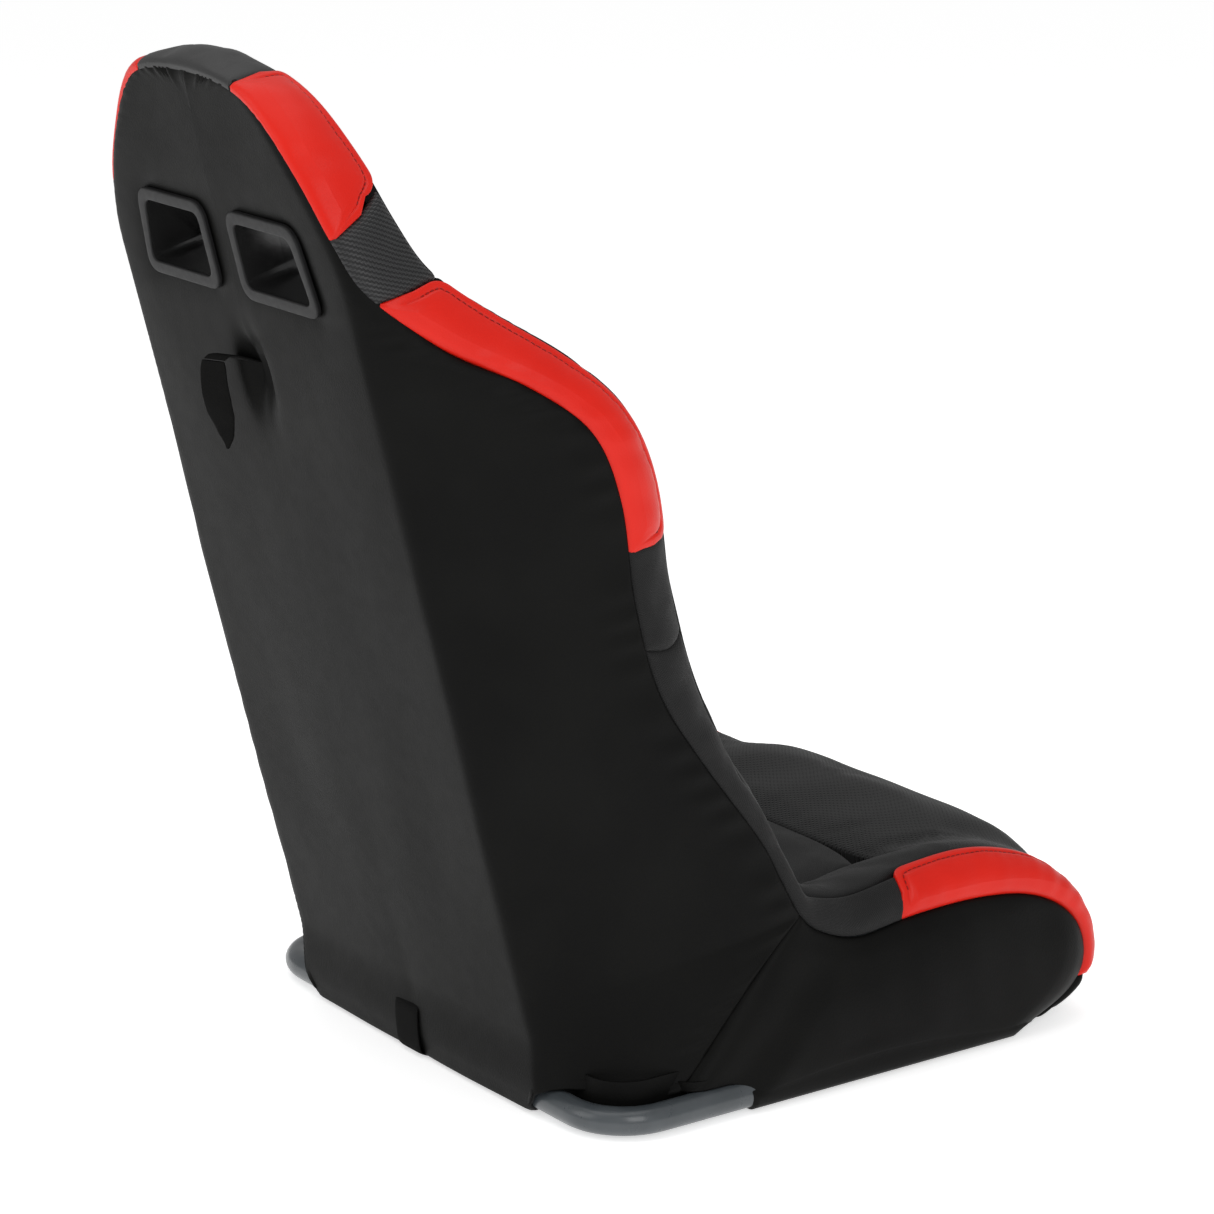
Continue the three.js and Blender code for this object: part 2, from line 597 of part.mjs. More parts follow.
pair("base_rail", baseRail, steel);
add("base_front_tube", tube(
  [vec(RAIL_FRONT_X - RAIL_R - 1.2, RAIL_FRONT_Y + 34, RAIL_Z), vec(1.2 + RAIL_R - RAIL_FRONT_X, RAIL_FRONT_Y + 34, RAIL_Z)],
  RAIL_R, { sides: 16 }), steel);
pair("rail_plug", (side) => onSide(side, tube(
  [vec(RAIL_FRONT_X, RAIL_FRONT_Y - 1, RAIL_Z), vec(RAIL_FRONT_X, RAIL_FRONT_Y - 6, RAIL_Z)],
  RAIL_R - 0.7, { sides: 16 })), plastic);

pair("back_post", (side) => backPost(side, POST_R), steel, backFrame);
add("head_arch", headArch(HOOP_R), steel, backFrame);
const crossBar = (height) => tube(
  [vec(POST_R - POST_X + 1, height, POST_D), vec(POST_X - POST_R - 1, height, POST_D)], POST_R);
add("shoulder_bar", crossBar(722), steel, backFrame);
add("lumbar_bar", crossBar(330), steel, backFrame);

pair("torso_tube", (side) => onSide(side, tube(
  stationsBetween(4.45, 13.9, 14).map(tubeAt), HOOP_R, { sides: 10, steps: 26 })), steel);
pair("thigh_tube", (side) => onSide(side, tube(
  stationsBetween(14.35, 21.6, 10).map(tubeAt), HOOP_R, { sides: 10, steps: 18 })), steel);
const CROTCH = tubeAt(14.1);
pair("hip_brace", (side) => onSide(side, tube(
  [vec(railX(70) - 23.5, 70, 21), CROTCH.clone().add(vec(-3, 17, -17))], HOOP_R)), steel);
pair("front_riser", (side) => onSide(side, tube(
  [vec(258, -250, RAIL_Z + RAIL_R + 0.6), vec(258, -250, tubeAt(18.15).z - HOOP_R - 1.2)], HOOP_R)), steel);
add("seat_front_bar", tube([vec(-234, -330, 76), vec(234, -330, 76)], POST_R), steel);

const TAB_FRONT_Y = -190;
const TAB_REAR_Y = 60;
for (const [where, y] of [["front", TAB_FRONT_Y], ["rear", TAB_REAR_Y]]) {
  pair(`mount_tab_${where}`, (side) => mountTab(side, y), steel);
  pair(`weld_nut_${where}`, (side) => weldNut(side, y), zinc);
}

// ---- suspension ----
add("back_sling", sling(5.4, 12.2, 12), mesh);
add("seat_sling", sling(14.5, 19.2, 8), mesh);
pair("back_lacing", (side) => lacing(side, 5.8, 11.8, 22), cord);
pair("seat_lacing", (side) => lacing(side, 14.8, 18.9, 16), cord);

// ---- foam and front upholstery ----
add("head_pad", headPad(), vinyl);
pair("shoulder_bolster", (side) => onSide(side, cut(
  bolster(HEAD_END + U_GAP, HIP_START - U_GAP, 12),
  inSeat(backPost(1, POST_R + GAP)),
  slotCutter(1),
)), redVinyl);
pair("hip_bolster", (side) => onSide(side, bolster(HIP_START, HIP_END - U_GAP, 11)), vinyl);
pair("thigh_bolster", (side) => onSide(side, bolster(HIP_END + U_GAP, 24, 26)), redVinyl);
add("back_cushion", cut(cushion(HEAD_END + U_GAP, 13 - U_GAP, 16), slotCutter(1), slotCutter(-1)), mesh);
add("seat_cushion", cushion(13 + U_GAP, ROLL_START - U_GAP, 10), mesh);
add("front_roll", cushion(ROLL_START, 24, 12), mesh);

// ---- covers ----
add("rear_cover", rearCover(), vinyl);
pair("base_side_cover", sideCover, vinyl);

// ---- harness bezels ----
pair("bezel_rear", rearBezel, plastic, backFrame);
pair("bezel_front", frontBezel, plastic, backFrame);

// ---- straps ----
const TAIL_TOP = onBack(TAIL_X, 679, -18); // the fold that the tail hangs from
function strapTail() {
  const half = STRAP_W / 2;
  const shape = new THREE.Shape([
    [-half, 0], [half, 0], [half, 14 - TAIL_LENGTH], [4, -TAIL_LENGTH], [-4, -TAIL_LENGTH], [-half, 14 - TAIL_LENGTH],
  ].map(([x, z]) => new THREE.Vector2(x, z)));
  return extrude(shape, STRAP_T).rotateX(Math.PI / 2).translate(TAIL_TOP.x, TAIL_TOP.y, TAIL_TOP.z - 2);
}
function strapRoot() {
  const line = [vec(0, -6, 26), vec(0, 4, 6), vec(0, 10, -6), vec(0, 12.5, -13)];
  const outer = line.map((p) => [-1, 1].map((s) => vec(p.x + (s * STRAP_W) / 2, p.y, p.z)));
  const inner = outer.map((row) => row.map((p) => vec(p.x, p.y + STRAP_T, p.z)));
  return slab(outer, inner).translate(SLIT.x, SLIT.h - 4, 0);
}
add("upper_strap_root", strapRoot(), webbing, backFrame);
add("upper_strap_tail", strapTail(), webbing);

function lowerStrap() {
  const profile = [70, 44, 10].map((height) => onBack(0, height, -1.2 - flare(height)));
  const under = [vec(0, REAR_Y + 10.6, 3.4), vec(0, REAR_Y - 2, 0.1), vec(0, REAR_Y - 24, 0.1)];
  const line = [...profile, ...under];
  const row = (p, lift) => [-1, 1].map((s) => vec(6 + (s * 36) / 2, p.y + lift.y, p.z + lift.z));
  const lifts = line.map((_, i) => (i < 3 ? vec(0, 2.2, 0) : i === 3 ? vec(0, 1.6, -1.6) : vec(0, 0, 0)));
  const backs = line.map((_, i) => (i < 3 ? vec(0, 0, 0) : i === 3 ? vec(0, -0.4, 0.4) : vec(0, 0, 2.2)));
  return slab(line.map((p, i) => row(p, lifts[i])), line.map((p, i) => row(p, backs[i])));
}
add("lower_strap", lowerStrap(), webbing);

export default seat;
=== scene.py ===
"""The looks of a suspension bucket seat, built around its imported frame.

Lengths are millimetres until a mesh is made. The upholstery lies on one chart. On it, u runs from the top
of the head (0) down the back, over the seat and out to the foot of the front (24). s is the distance
across in mm, from the middle (0) out to the seam with the covers, positive on the sitter's left. The back
has its own axes: x, the height h up the rear panel, and the depth d in front of it.
"""

import math

import bpy
import numpy as np
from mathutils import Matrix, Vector


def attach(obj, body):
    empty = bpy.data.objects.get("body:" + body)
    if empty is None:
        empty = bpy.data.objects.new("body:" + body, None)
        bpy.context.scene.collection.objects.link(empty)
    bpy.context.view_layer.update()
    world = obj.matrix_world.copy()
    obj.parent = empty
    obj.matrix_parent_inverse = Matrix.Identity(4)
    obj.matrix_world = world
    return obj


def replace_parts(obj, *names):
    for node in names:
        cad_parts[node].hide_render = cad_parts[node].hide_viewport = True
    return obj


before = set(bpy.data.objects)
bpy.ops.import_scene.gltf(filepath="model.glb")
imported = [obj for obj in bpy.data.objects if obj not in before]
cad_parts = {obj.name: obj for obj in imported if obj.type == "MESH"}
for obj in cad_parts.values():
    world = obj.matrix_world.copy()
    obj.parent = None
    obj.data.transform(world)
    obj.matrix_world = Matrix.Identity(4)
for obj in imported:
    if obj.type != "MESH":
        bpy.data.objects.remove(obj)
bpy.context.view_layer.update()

MM = 0.001
RECLINE = math.radians(14.3)
REAR_Y = 167.0  # the rear panel's bottom edge, behind the origin
SIN, COS = math.sin(RECLINE), math.cos(RECLINE)

# ---------------------------------------------------------------- shape


def on_back(x, height, depth):
    """A point of the back's own axes, in the seat's frame."""
    x, height, depth = np.broadcast_arrays(*(np.asarray(v, float) for v in (x, height, depth)))
    return np.stack([x, REAR_Y + height * SIN - depth * COS, height * COS + depth * SIN], -1)


def height_of(p):
    return (p[..., 1] - REAR_Y) * SIN + p[..., 2] * COS


def depth_of(p):
    return (REAR_Y - p[..., 1]) * COS + p[..., 2] * SIN


def unit(v):
    return v / np.maximum(np.linalg.norm(v, axis=-1, keepdims=True), 1e-9)


def smooth(t):
    t = np.clip(t, 0, 1)
    return t * t * (3 - 2 * t)


def lerp(a, b, t):
    return a + (b - a) * t


def along(path):
    """How far each point of a path is from its start."""
    return np.concatenate([[0], np.cumsum(np.linalg.norm(np.diff(path, axis=0), axis=1))])


def bell(sigma):
    """The weights of a Gaussian filter, and how many steps it reaches to each side."""
    reach = int(3 * sigma)
    kernel = np.exp(-0.5 * (np.arange(-reach, reach + 1) / sigma) ** 2)
    return kernel / kernel.sum(), reach


def rail(stations):
    """A smooth curve through stations (u, point), read at any array of u."""
    us = np.array([s[0] for s in stations], float)
    ps = np.array([s[1] for s in stations], float)
    before, after = np.maximum(np.arange(len(us)) - 1, 0), np.minimum(np.arange(len(us)) + 1, len(us) - 1)
    slopes = (ps[after] - ps[before]) / (us[after] - us[before])[:, None]

    def at(u):
        u = np.clip(np.asarray(u, float), us[0], us[-1])
        i = np.clip(np.searchsorted(us, u), 1, len(us) - 1)
        w = (us[i] - us[i - 1])[..., None]
        t = (u[..., None] - us[i - 1][..., None]) / w
        t2, t3 = t * t, t * t * t
        return (
            ps[i - 1] * (2 * t3 - 3 * t2 + 1)
            + slopes[i - 1] * (t3 - 2 * t2 + t) * w
            + ps[i] * (3 * t2 - 2 * t3)
            + slopes[i] * (t3 - t2) * w
        )

    return at


def B(x, height, depth):
    return tuple(float(v) for v in on_back(x, height, depth))


seam = rail([
    (0, B(0, 946, 0)), (0.5, B(60, 943, 0)), (1, B(104, 929, 0)), (2, B(158, 866, 0)), (3, B(188, 815, 1)),
    (4, B(206, 765, 12)), (5, B(226, 706, 58)), (6, B(252, 660, 110)), (7, B(271, 608, 149)),
    (8, B(272, 540, 162)), (9, B(270, 450, 155)), (10, B(271, 365, 158)), (11, B(272, 290, 183)),
    (12, (272, -2, 244)), (13, (272, -25, 204)), (14, (272, -47, 166)), (15, (272, -69, 147)),
    (16, (272, -111, 134)), (17, (272, -171, 141)), (18, (272, -241, 144)), (19, (271, -303, 137)),
    (20, (268, -350, 116)), (21, (264, -377, 85)), (22, (262, -382, 53)), (23, (259, -366, 28)),
    (24, (256, -328, 7)),
])
crest = rail([
    (0, B(0, 944, 50)), (1, B(96, 917, 57)), (2, B(150, 861, 63)), (3, B(180, 811, 66)), (4, B(198, 764, 78)),
    (5, B(217, 717, 114)), (6, B(241, 662, 162)), (7, B(254, 606, 196)), (8, B(253, 538, 210)),
    (9, B(250, 449, 204)), (10, B(251, 358, 206)), (11, B(252, 282, 220)), (12, (254, -18, 256)),
    (13, (256, -40, 208)), (14, (256, -56, 184)), (15, (256, -79, 175)), (16, (256, -113, 171)),
    (17, (255, -174, 180)), (18, (254, -247, 184)), (19, (253, -315, 168)), (20, (250, -367, 134)),
    (21, (247, -392, 92)), (22, (244, -398, 56)), (23, (242, -381, 26)), (24, (240, -336, 5)),
])
middle = rail([
    (0, B(0, 890, 63)), (2, B(0, 838, 60)), (4, B(0, 758, 62)), (6, B(0, 655, 70)), (8, B(0, 536, 79)),
    (10, B(0, 356, 86)), (11, B(0, 270, 86)), (12, B(0, 198, 84)), (13, (0, 116, 150)), (14, (0, 86, 130)),
    (15, (0, 28, 125)), (16, (0, -50, 127)), (17, (0, -130, 139)), (18, (0, -215, 154)), (19, (0, -296, 169)),
    (20, (0, -357, 167)), (21, (0, -392, 132)), (22, (0, -400, 80)), (23, (0, -386, 35)), (24, (0, -336, 5)),
])
liner = rail([
    (0, B(0, 888, 34)), (2, B(0, 838, 34)), (4, B(0, 758, 34)), (5, B(0, 706, 38)), (8, B(0, 536, 38)),
    (10, B(0, 356, 38)), (11, B(0, 268, 38)), (12, B(0, 190, 38)), (13, (0, 158, 116)), (14, (0, 112, 92)),
    (15, (0, 38, 92)), (16, (0, -50, 94)), (17, (0, -130, 97)), (18, (0, -215, 102)), (19, (0, -290, 106)),
    (20, (0, -334, 104)), (21, (0, -350, 90)), (22, (0, -354, 66)), (23, (0, -348, 40)), (24, (0, -322, 18)),
])

FOOT = 9  # the section point where a bolster meets the middle cushion
BAND_BULGE = 7.0
# from the crest to the middle: share of the crest's x, and of its rise over the middle
BUCKET = [
    (0.94, 1.05), (0.87, 0.99), (0.78, 0.72), (0.69, 0.36),
    (0.6, 0.12), (0.45, 0.03), (0.22, 0), (0, 0),
]


def inward(u):
    return unit(liner(u) - middle(u))


def sections(u):
    """The upholstery's sections at stations u: 13 points each, from the seam to the middle, on the left."""
    s, k, m = seam(u), crest(u), middle(u)
    band_way = unit(k - s)
    out = (s + k) / 2 - m
    out = unit(out - band_way * (out * band_way).sum(-1, keepdims=True))
    band = [lerp(s, k, t) + out * BAND_BULGE * 4 * t * (1 - t) for t in (0.25, 0.5, 0.75)]
    rise = (k - m) * np.array([0, 1, 1])
    pad = (1 - smooth((u - 3) / 2.5))[:, None]
    top = []
    for share, lift in BUCKET:
        top.append(m + np.stack([share * k[:, 0], 0 * u, 0 * u], -1) + rise * lerp(lift, share**1.6, pad))
    return np.stack([s, *band, k, *top], 1)


def spread(points, js):
    """Catmull-Rom curves through each section's points, read at js."""
    mirrored = points[:, -2:-1] * np.array([-1, 1, 1])
    first = 2 * points[:, :1] - points[:, 1:2]
    padded = np.concatenate([first, points, mirrored], 1)
    i = np.clip(np.floor(js).astype(int), 0, points.shape[1] - 2)
    t = (js - i)[None, :, None]
    p0, p1, p2, p3 = (padded[:, i + k] for k in range(4))
    square, cube = 2 * p0 - 5 * p1 + 4 * p2 - p3, 3 * p1 - p0 - 3 * p2 + p3
    return 0.5 * (2 * p1 + (p2 - p0) * t + square * t**2 + cube * t**3)


class Chart:
    """The upholstery's surface as a lattice over u and j, read at (u, s)."""

    END = 24.0
    FINE_U = 0.02
    FINE_J = 12

    def __init__(self):
        self.us = np.arange(0, self.END + self.FINE_U / 2, self.FINE_U)
        self.js = np.linspace(0, 12, 12 * self.FINE_J + 1)
        self.at_points = spread(self.smoothed(sections(self.us)), self.js)
        steps = np.linalg.norm(np.diff(self.at_points, axis=1), axis=-1)
        self.reach = np.concatenate([np.cumsum(steps[:, ::-1], 1)[:, ::-1], np.zeros((len(self.us), 1))], 1)
        down, across = np.gradient(self.at_points, axis=0), np.gradient(self.at_points, axis=1)
        self.normals = unit(np.cross(down, across))
        outward = -inward(np.array([16.0]))[0]
        if self.normals[int(16 / self.FINE_U), -2] @ outward < 0:
            self.normals *= -1
        self.normals[0, :, 0] = 0
        self.normals[:, -1, 0] = 0
        self.normals = unit(self.normals)

    @staticmethod
    def smoothed(points, sigma=9):
        """Evens out the rails' small changes of curvature. The head's top mirrors and the foot is held."""
        kernel, reach = bell(sigma)
        before = points[reach:0:-1] * np.array([-1, 1, 1])
        after = 2 * points[-1:] - points[-2 : -reach - 2 : -1]
        run = np.concatenate([before, points, after])
        return sum(w * run[i : i + len(points)] for i, w in enumerate(kernel))

    def across(self, u, j):
        """How far s is from the middle at section point j."""
        i, f = self.row(u)
        col = np.clip(np.asarray(j, float) * self.FINE_J, 0, self.reach.shape[1] - 1.001)
        k, g = col.astype(int), col % 1
        low = lerp(self.reach[i, k], self.reach[i, k + 1], g)
        high = lerp(self.reach[i + 1, k], self.reach[i + 1, k + 1], g)
        return lerp(low, high, f)

    def row(self, u):
        at = np.clip(np.abs(u) / self.FINE_U, 0, len(self.us) - 1.0001)
        return at.astype(int), at % 1

    def __call__(self, u, s):
        """Points and outward normals; a negative u mirrors the head's top to the right."""
        i, f = self.row(u)
        reach = lerp(self.reach[i], self.reach[i + 1], f[:, None])
        dist = np.abs(s)
        k = (reach[:, 1:-1] >= dist[:, None]).sum(1)
        rows = np.arange(len(k))
        g = (reach[rows, k] - dist) / np.maximum(reach[rows, k] - reach[rows, k + 1], 1e-6)
        f, g = f[:, None], g[:, None]
        found = []
        for field in (self.at_points, self.normals):
            near, far = (lerp(field[i, k + step], field[i + 1, k + step], f) for step in (0, 1))
            value = lerp(near, far, g)
            value[:, 0] *= np.where(s < 0, -1, 1) * np.where(u < 0, -1, 1)
            found.append(value)
        return found[0], unit(found[1])


chart = Chart()

# ---------------------------------------------------------------- meshes


def wobble(points, size, seed, waves=9):
    """Smooth noise of about -1 to 1 over points, in patches of about that size in mm."""
    rng = np.random.default_rng(seed)
    total = np.zeros(len(points))
    for _ in range(waves):
        direction = unit(rng.normal(size=points.shape[-1]))
        pitch = size * rng.uniform(1.3, 3.0)
        total += np.sin(points @ direction * (2 * np.pi / pitch) + rng.uniform(0, 2 * np.pi))
    return total / math.sqrt(waves)


def vertex_normals(verts, faces):
    faces = np.asarray(faces)
    crossed = np.cross(verts[faces[:, 2]] - verts[faces[:, 0]], verts[faces[:, 3]] - verts[faces[:, 1]])
    total = np.zeros_like(verts)
    for k in range(4):
        np.add.at(total, faces[:, k], crossed)
    return unit(total)


def grid_faces(rows, columns, wrap=False):
    i, j = np.meshgrid(np.arange(rows - 1), np.arange(columns if wrap else columns - 1), indexing="ij")
    i, j = i.ravel(), j.ravel()
    k = (j + 1) % columns
    return np.stack([i * columns + j, (i + 1) * columns + j, (i + 1) * columns + k, i * columns + k], 1)


def closed_shell(verts, faces, back):
    """A sheet of quads and the sheet behind it, joined along their borders."""
    count = len(verts)
    directed = {}
    for face in faces.tolist():
        for a, b in zip(face, face[1:] + face[:1]):
            directed[(a, b)] = True
    walls = [(b, a, a + count, b + count) for a, b in directed if (b, a) not in directed]
    return np.concatenate([verts, back]), np.concatenate([faces, faces[:, ::-1] + count, np.array(walls)])


made_from = {}  # for each piece, the point that each of its mesh's vertices was made from


def make_piece(name, verts, faces, looks, slot, body="seat", uvs=None, sharp=50, face_looks=None):
    """A mesh object in the seat's frame, riding on a body. Points that coincide are welded."""
    verts = np.asarray(verts, float)
    _, first, index = np.unique(np.round(verts, 3), axis=0, return_index=True, return_inverse=True)
    index = index.ravel()
    kept, corners, kinds = [], [], []
    for n, face in enumerate(faces):
        loop = [(int(index[v]), int(v)) for v in face]
        loop = [c for c, before in zip(loop, loop[-1:] + loop[:-1]) if c[0] != before[0]]
        if len({c[0] for c in loop}) >= 3 and len({c[0] for c in loop}) == len(loop):
            kept.append([c[0] for c in loop])
            corners.extend(c[1] for c in loop)
            kinds.append(0 if face_looks is None else int(face_looks[n]))
    points = verts[first]
    fan = [(f[0], f[i], f[i + 1]) for f in kept for i in range(1, len(f) - 1)]
    a, b, c = (points[[t[k] for t in fan]] for k in range(3))
    if (a * np.cross(b, c)).sum() < 0:
        done = 0
        for n, face in enumerate(kept):
            corners[done : done + len(face)] = corners[done : done + len(face)][::-1]
            done += len(face)
            kept[n] = face[::-1]
    mesh = bpy.data.meshes.new(name)
    mesh.from_pydata((points * MM).tolist(), [], kept)
    mesh.polygons.foreach_set("use_smooth", [True] * len(kept))
    mesh.set_sharp_from_angle(angle=math.radians(sharp))
    if uvs is not None:
        layer = mesh.uv_layers.new(name="weave")
        layer.data.foreach_set("uv", (np.asarray(uvs)[corners] * MM).ravel())
    for look in looks if isinstance(looks, (list, tuple)) else [looks]:
        mesh.materials.append(look)
    mesh.polygons.foreach_set("material_index", kinds)
    obj = bpy.data.objects.new(name, mesh)
    bpy.context.scene.collection.objects.link(obj)
    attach(obj, body)
    made_from[name] = first
    return obj


def frames_along(path):
    """Tangents and two crosswise directions that turn as little as they can along a path."""
    path = np.asarray(path, float)
    tangents = unit(np.gradient(path, axis=0))
    side = unit(np.cross(tangents[0], [0.31, 0.17, 0.94]))
    sides = []
    for t in tangents:
        side = unit(side - t * (side @ t))
        sides.append(side)
    sides = np.array(sides)
    return tangents, sides, np.cross(tangents, sides)


def sweep(path, radius, sides=24):
    """A closed round bar along a path."""
    path = np.asarray(path, float)
    tangents, across, up = frames_along(path)
    radii = np.broadcast_to(np.asarray(radius, float), len(path))
    angles = np.linspace(0, 2 * np.pi, sides, endpoint=False)
    ring = np.cos(angles)[None, :, None] * across[:, None] + np.sin(angles)[None, :, None] * up[:, None]
    verts = (path[:, None] + ring * radii[:, None, None]).reshape(-1, 3)
    faces = grid_faces(len(path), sides, wrap=True).tolist()
    last = (len(path) - 1) * sides
    faces += [list(range(sides)), list(range(last + sides - 1, last - 1, -1))]
    return verts, faces


def smooth_path(points, step=4.0):
    """Even points along a Catmull-Rom curve through the points given."""
    points = np.asarray(points, float)
    ends = np.concatenate([[2 * points[0] - points[1]], points, [2 * points[-1] - points[-2]]])
    run = []
    for i in range(len(points) - 1):
        p0, p1, p2, p3 = ends[i : i + 4]
        t = np.linspace(0, 1, 24, endpoint=False)[:, None]
        run.append(0.5 * (2 * p1 + (p2 - p0) * t + (2 * p0 - 5 * p1 + 4 * p2 - p3) * t**2
                          + (3 * p1 - p0 - 3 * p2 + p3) * t**3))
    return evenly(np.concatenate([*run, points[-1:]]), step)


def evenly(run, step):
    run = np.asarray(run, float)
    lengths = along(run)
    count = max(2, int(round(lengths[-1] / step)) + 1)
    at = np.linspace(0, lengths[-1], count)
    return np.stack([np.interp(at, lengths, run[:, k]) for k in range(run.shape[1])], 1)


def merged(parts):
    """Several (verts, faces) as one."""
    verts, faces, base = [], [], 0
    for v, f in parts:
        verts.append(v)
        faces.extend([[i + base for i in face] for face in (f.tolist() if isinstance(f, np.ndarray) else f)])
        base += len(v)
    return np.concatenate(verts), faces


# ---------------------------------------------------------------- materials


class Look:
    """A material and short ways to wire its nodes."""

    def __init__(self, name, color, roughness, metallic=0.0, specular=0.5):
        self.material = bpy.data.materials.new(name)
        self.material.use_nodes = True
        self.tree = self.material.node_tree
        self.shader = self.tree.nodes["Principled BSDF"]
        self.shader.inputs["Base Color"].default_value = (*color, 1)
        self.shader.inputs["Roughness"].default_value = roughness
        self.shader.inputs["Metallic"].default_value = metallic
        self.shader.inputs["Specular IOR Level"].default_value = specular
        self.material.diffuse_color = (*color, 1)

    def node(self, kind, **settings):
        made = self.tree.nodes.new(kind)
        for key, value in settings.items():
            setattr(made, key, value)
        return made

    def link(self, source, target):
        self.tree.links.new(source, target)

    def coords(self, kind="Object"):
        return self.node("ShaderNodeTexCoord").outputs[kind]

    def math(self, operation, a, b=None):
        made = self.node("ShaderNodeMath", operation=operation)
        for socket, value in zip(made.inputs, (a, b)):
            if isinstance(value, (int, float)):
                socket.default_value = value
            elif value is not None:
                self.link(value, socket)
        return made.outputs[0]

    def noise(self, scale, detail=3.0):
        made = self.node("ShaderNodeTexNoise")
        made.inputs["Scale"].default_value = scale
        made.inputs["Detail"].default_value = detail
        self.link(self.coords(), made.inputs["Vector"])
        return made.outputs["Fac"]

    def cells(self, scale):
        made = self.node("ShaderNodeTexVoronoi")
        made.inputs["Scale"].default_value = scale
        self.link(self.coords(), made.inputs["Vector"])
        return made.outputs["Distance"]

    def ramp(self, source, low, high, out_low=0.0, out_high=1.0):
        made = self.node("ShaderNodeMapRange", interpolation_type="SMOOTHSTEP")
        for name, value in (("From Min", low), ("From Max", high), ("To Min", out_low), ("To Max", out_high)):
            made.inputs[name].default_value = value
        self.link(source, made.inputs["Value"])
        return made.outputs["Result"]

    def mix(self, factor, a, b):
        made = self.node("ShaderNodeMix", data_type="RGBA")
        self.link(factor, made.inputs["Factor"])
        for socket, value in ((made.inputs["A"], a), (made.inputs["B"], b)):
            if isinstance(value, tuple):
                socket.default_value = (*value, 1)
            else:
                self.link(value, socket)
        return made.outputs["Result"]

    def bump(self, *layers):
        """Stacks (height, strength, distance in metres) layers into the shader's normal."""
        normal = None
        for height, strength, distance in layers:
            made = self.node("ShaderNodeBump")
            made.inputs["Strength"].default_value = strength
            made.inputs["Distance"].default_value = distance
            self.link(height, made.inputs["Height"])
            if normal is not None:
                self.link(normal, made.inputs["Normal"])
            normal = made.outputs["Normal"]
        self.link(normal, self.shader.inputs["Normal"])

    def color(self, source):
        self.link(source, self.shader.inputs["Base Color"])

    def rough(self, source):
        self.link(source, self.shader.inputs["Roughness"])


def vinyl_look(name, dark, light, roughness, specular, grain=0.35):
    """Coated cloth with a fine leather grain, a little uneven in colour and shine."""
    look = Look(name, light, roughness, specular=specular)
    grain_cells = look.cells(620)
    fine = look.noise(1500, 2)
    broad = look.noise(9, 3)
    look.color(look.mix(look.ramp(broad, 0.3, 0.7), dark, light))
    look.rough(look.ramp(look.noise(60, 4), 0.25, 0.75, roughness - 0.015, roughness + 0.02))
    look.bump((grain_cells, grain, 0.00035), (fine, grain * 0.6, 0.0002))
    return look.material


def weave_axes(look):
    """The weave's own coordinates, in mm."""
    split = look.node("ShaderNodeSeparateXYZ")
    look.link(look.coords("UV"), split.inputs[0])
    return [look.math("MULTIPLY", split.outputs[k], 1000.0) for k in range(2)]


def carbon_look():
    """Vinyl embossed and printed as a two-by-two twill, in threads 1.9 mm wide. Its two thread directions are
    coloured light and dark: the print, and a painted sheen for each direction's own highlight.
    """
    look = Look("carbon_vinyl", (0.03, 0.03, 0.03), 0.42, specular=0.30)
    x, y = (look.math("DIVIDE", axis, 1.9) for axis in weave_axes(look))
    diagonal = look.math("ADD", look.math("FLOOR", x), look.math("FLOOR", y))
    over = look.math("GREATER_THAN", look.math("MODULO", look.math("ADD", diagonal, 4000.0), 4.0), 1.5)
    ridge_x = look.math("ABSOLUTE", look.math("SINE", look.math("MULTIPLY", x, math.pi)))
    ridge_y = look.math("ABSOLUTE", look.math("SINE", look.math("MULTIPLY", y, math.pi)))
    ridge = look.math("ADD", look.math("MULTIPLY", over, ridge_x),
                      look.math("MULTIPLY", look.math("SUBTRACT", 1.0, over), ridge_y))
    # light and dark threads: print, plus the painted highlight of each thread direction
    look.color(look.mix(over, (0.008, 0.008, 0.0085), (0.028, 0.0285, 0.029)))
    look.rough(look.ramp(over, 0.0, 1.0, 0.5, 0.34))
    look.bump((ridge, 0.5, 0.0005))
    return look.material


def mesh_look(name, pitch, thread, hole, depth, shine):
    """Warp-knitted mesh: rows of small hollows set half a step from each other. The hollows are coloured near
    black: painted shade.
    """
    look = Look(name, thread, shine, specular=0.2)
    look.shader.inputs["Sheen Weight"].default_value = 0.07
    look.shader.inputs["Sheen Roughness"].default_value = 0.5
    x, y = weave_axes(look)
    wave_x = look.math("COSINE", look.math("MULTIPLY", x, 2 * math.pi / pitch))
    wave_y = look.math("COSINE", look.math("MULTIPLY", y, 2 * math.pi / (pitch * 1.5)))
    hollow = look.ramp(look.math("MULTIPLY", wave_x, wave_y), 0.1, 0.7)
    threads = look.noise(900, 2)
    # the hole colour fills the hollows: painted shade in the recesses
    look.color(look.mix(hollow, thread, hole))
    look.bump((look.math("SUBTRACT", 1.0, hollow), 0.7, depth), (threads, 0.3, 0.0003))
    return look.material


def plastic_look(name, color, roughness, specular):
    look = Look(name, color, roughness, specular=specular)
    look.rough(look.ramp(look.noise(180, 3), 0.3, 0.7, roughness, roughness + 0.07))
    look.bump((look.noise(2200, 2), 0.12, 0.00015))
    return look.material


def webbing_look():
    look = Look("webbing", (0.004, 0.004, 0.0038), 0.85, specular=0.08)
    x, y = weave_axes(look)
    ribs = look.math("SINE", look.math("MULTIPLY", x, 2 * math.pi / 1.3))
    rows = look.math("SINE", look.math("MULTIPLY", y, 2 * math.pi / 2.4))
    weave = look.math("MULTIPLY", ribs, rows)
    # colour follows the weave's height: painted shade in its valleys, lighter on its ridges
    look.color(look.mix(look.ramp(weave, -1, 1), (0.002, 0.002, 0.002), (0.007, 0.007, 0.0065)))
    look.bump((weave, 0.5, 0.0004), (look.noise(1400, 2), 0.3, 0.0002))
    return look.material


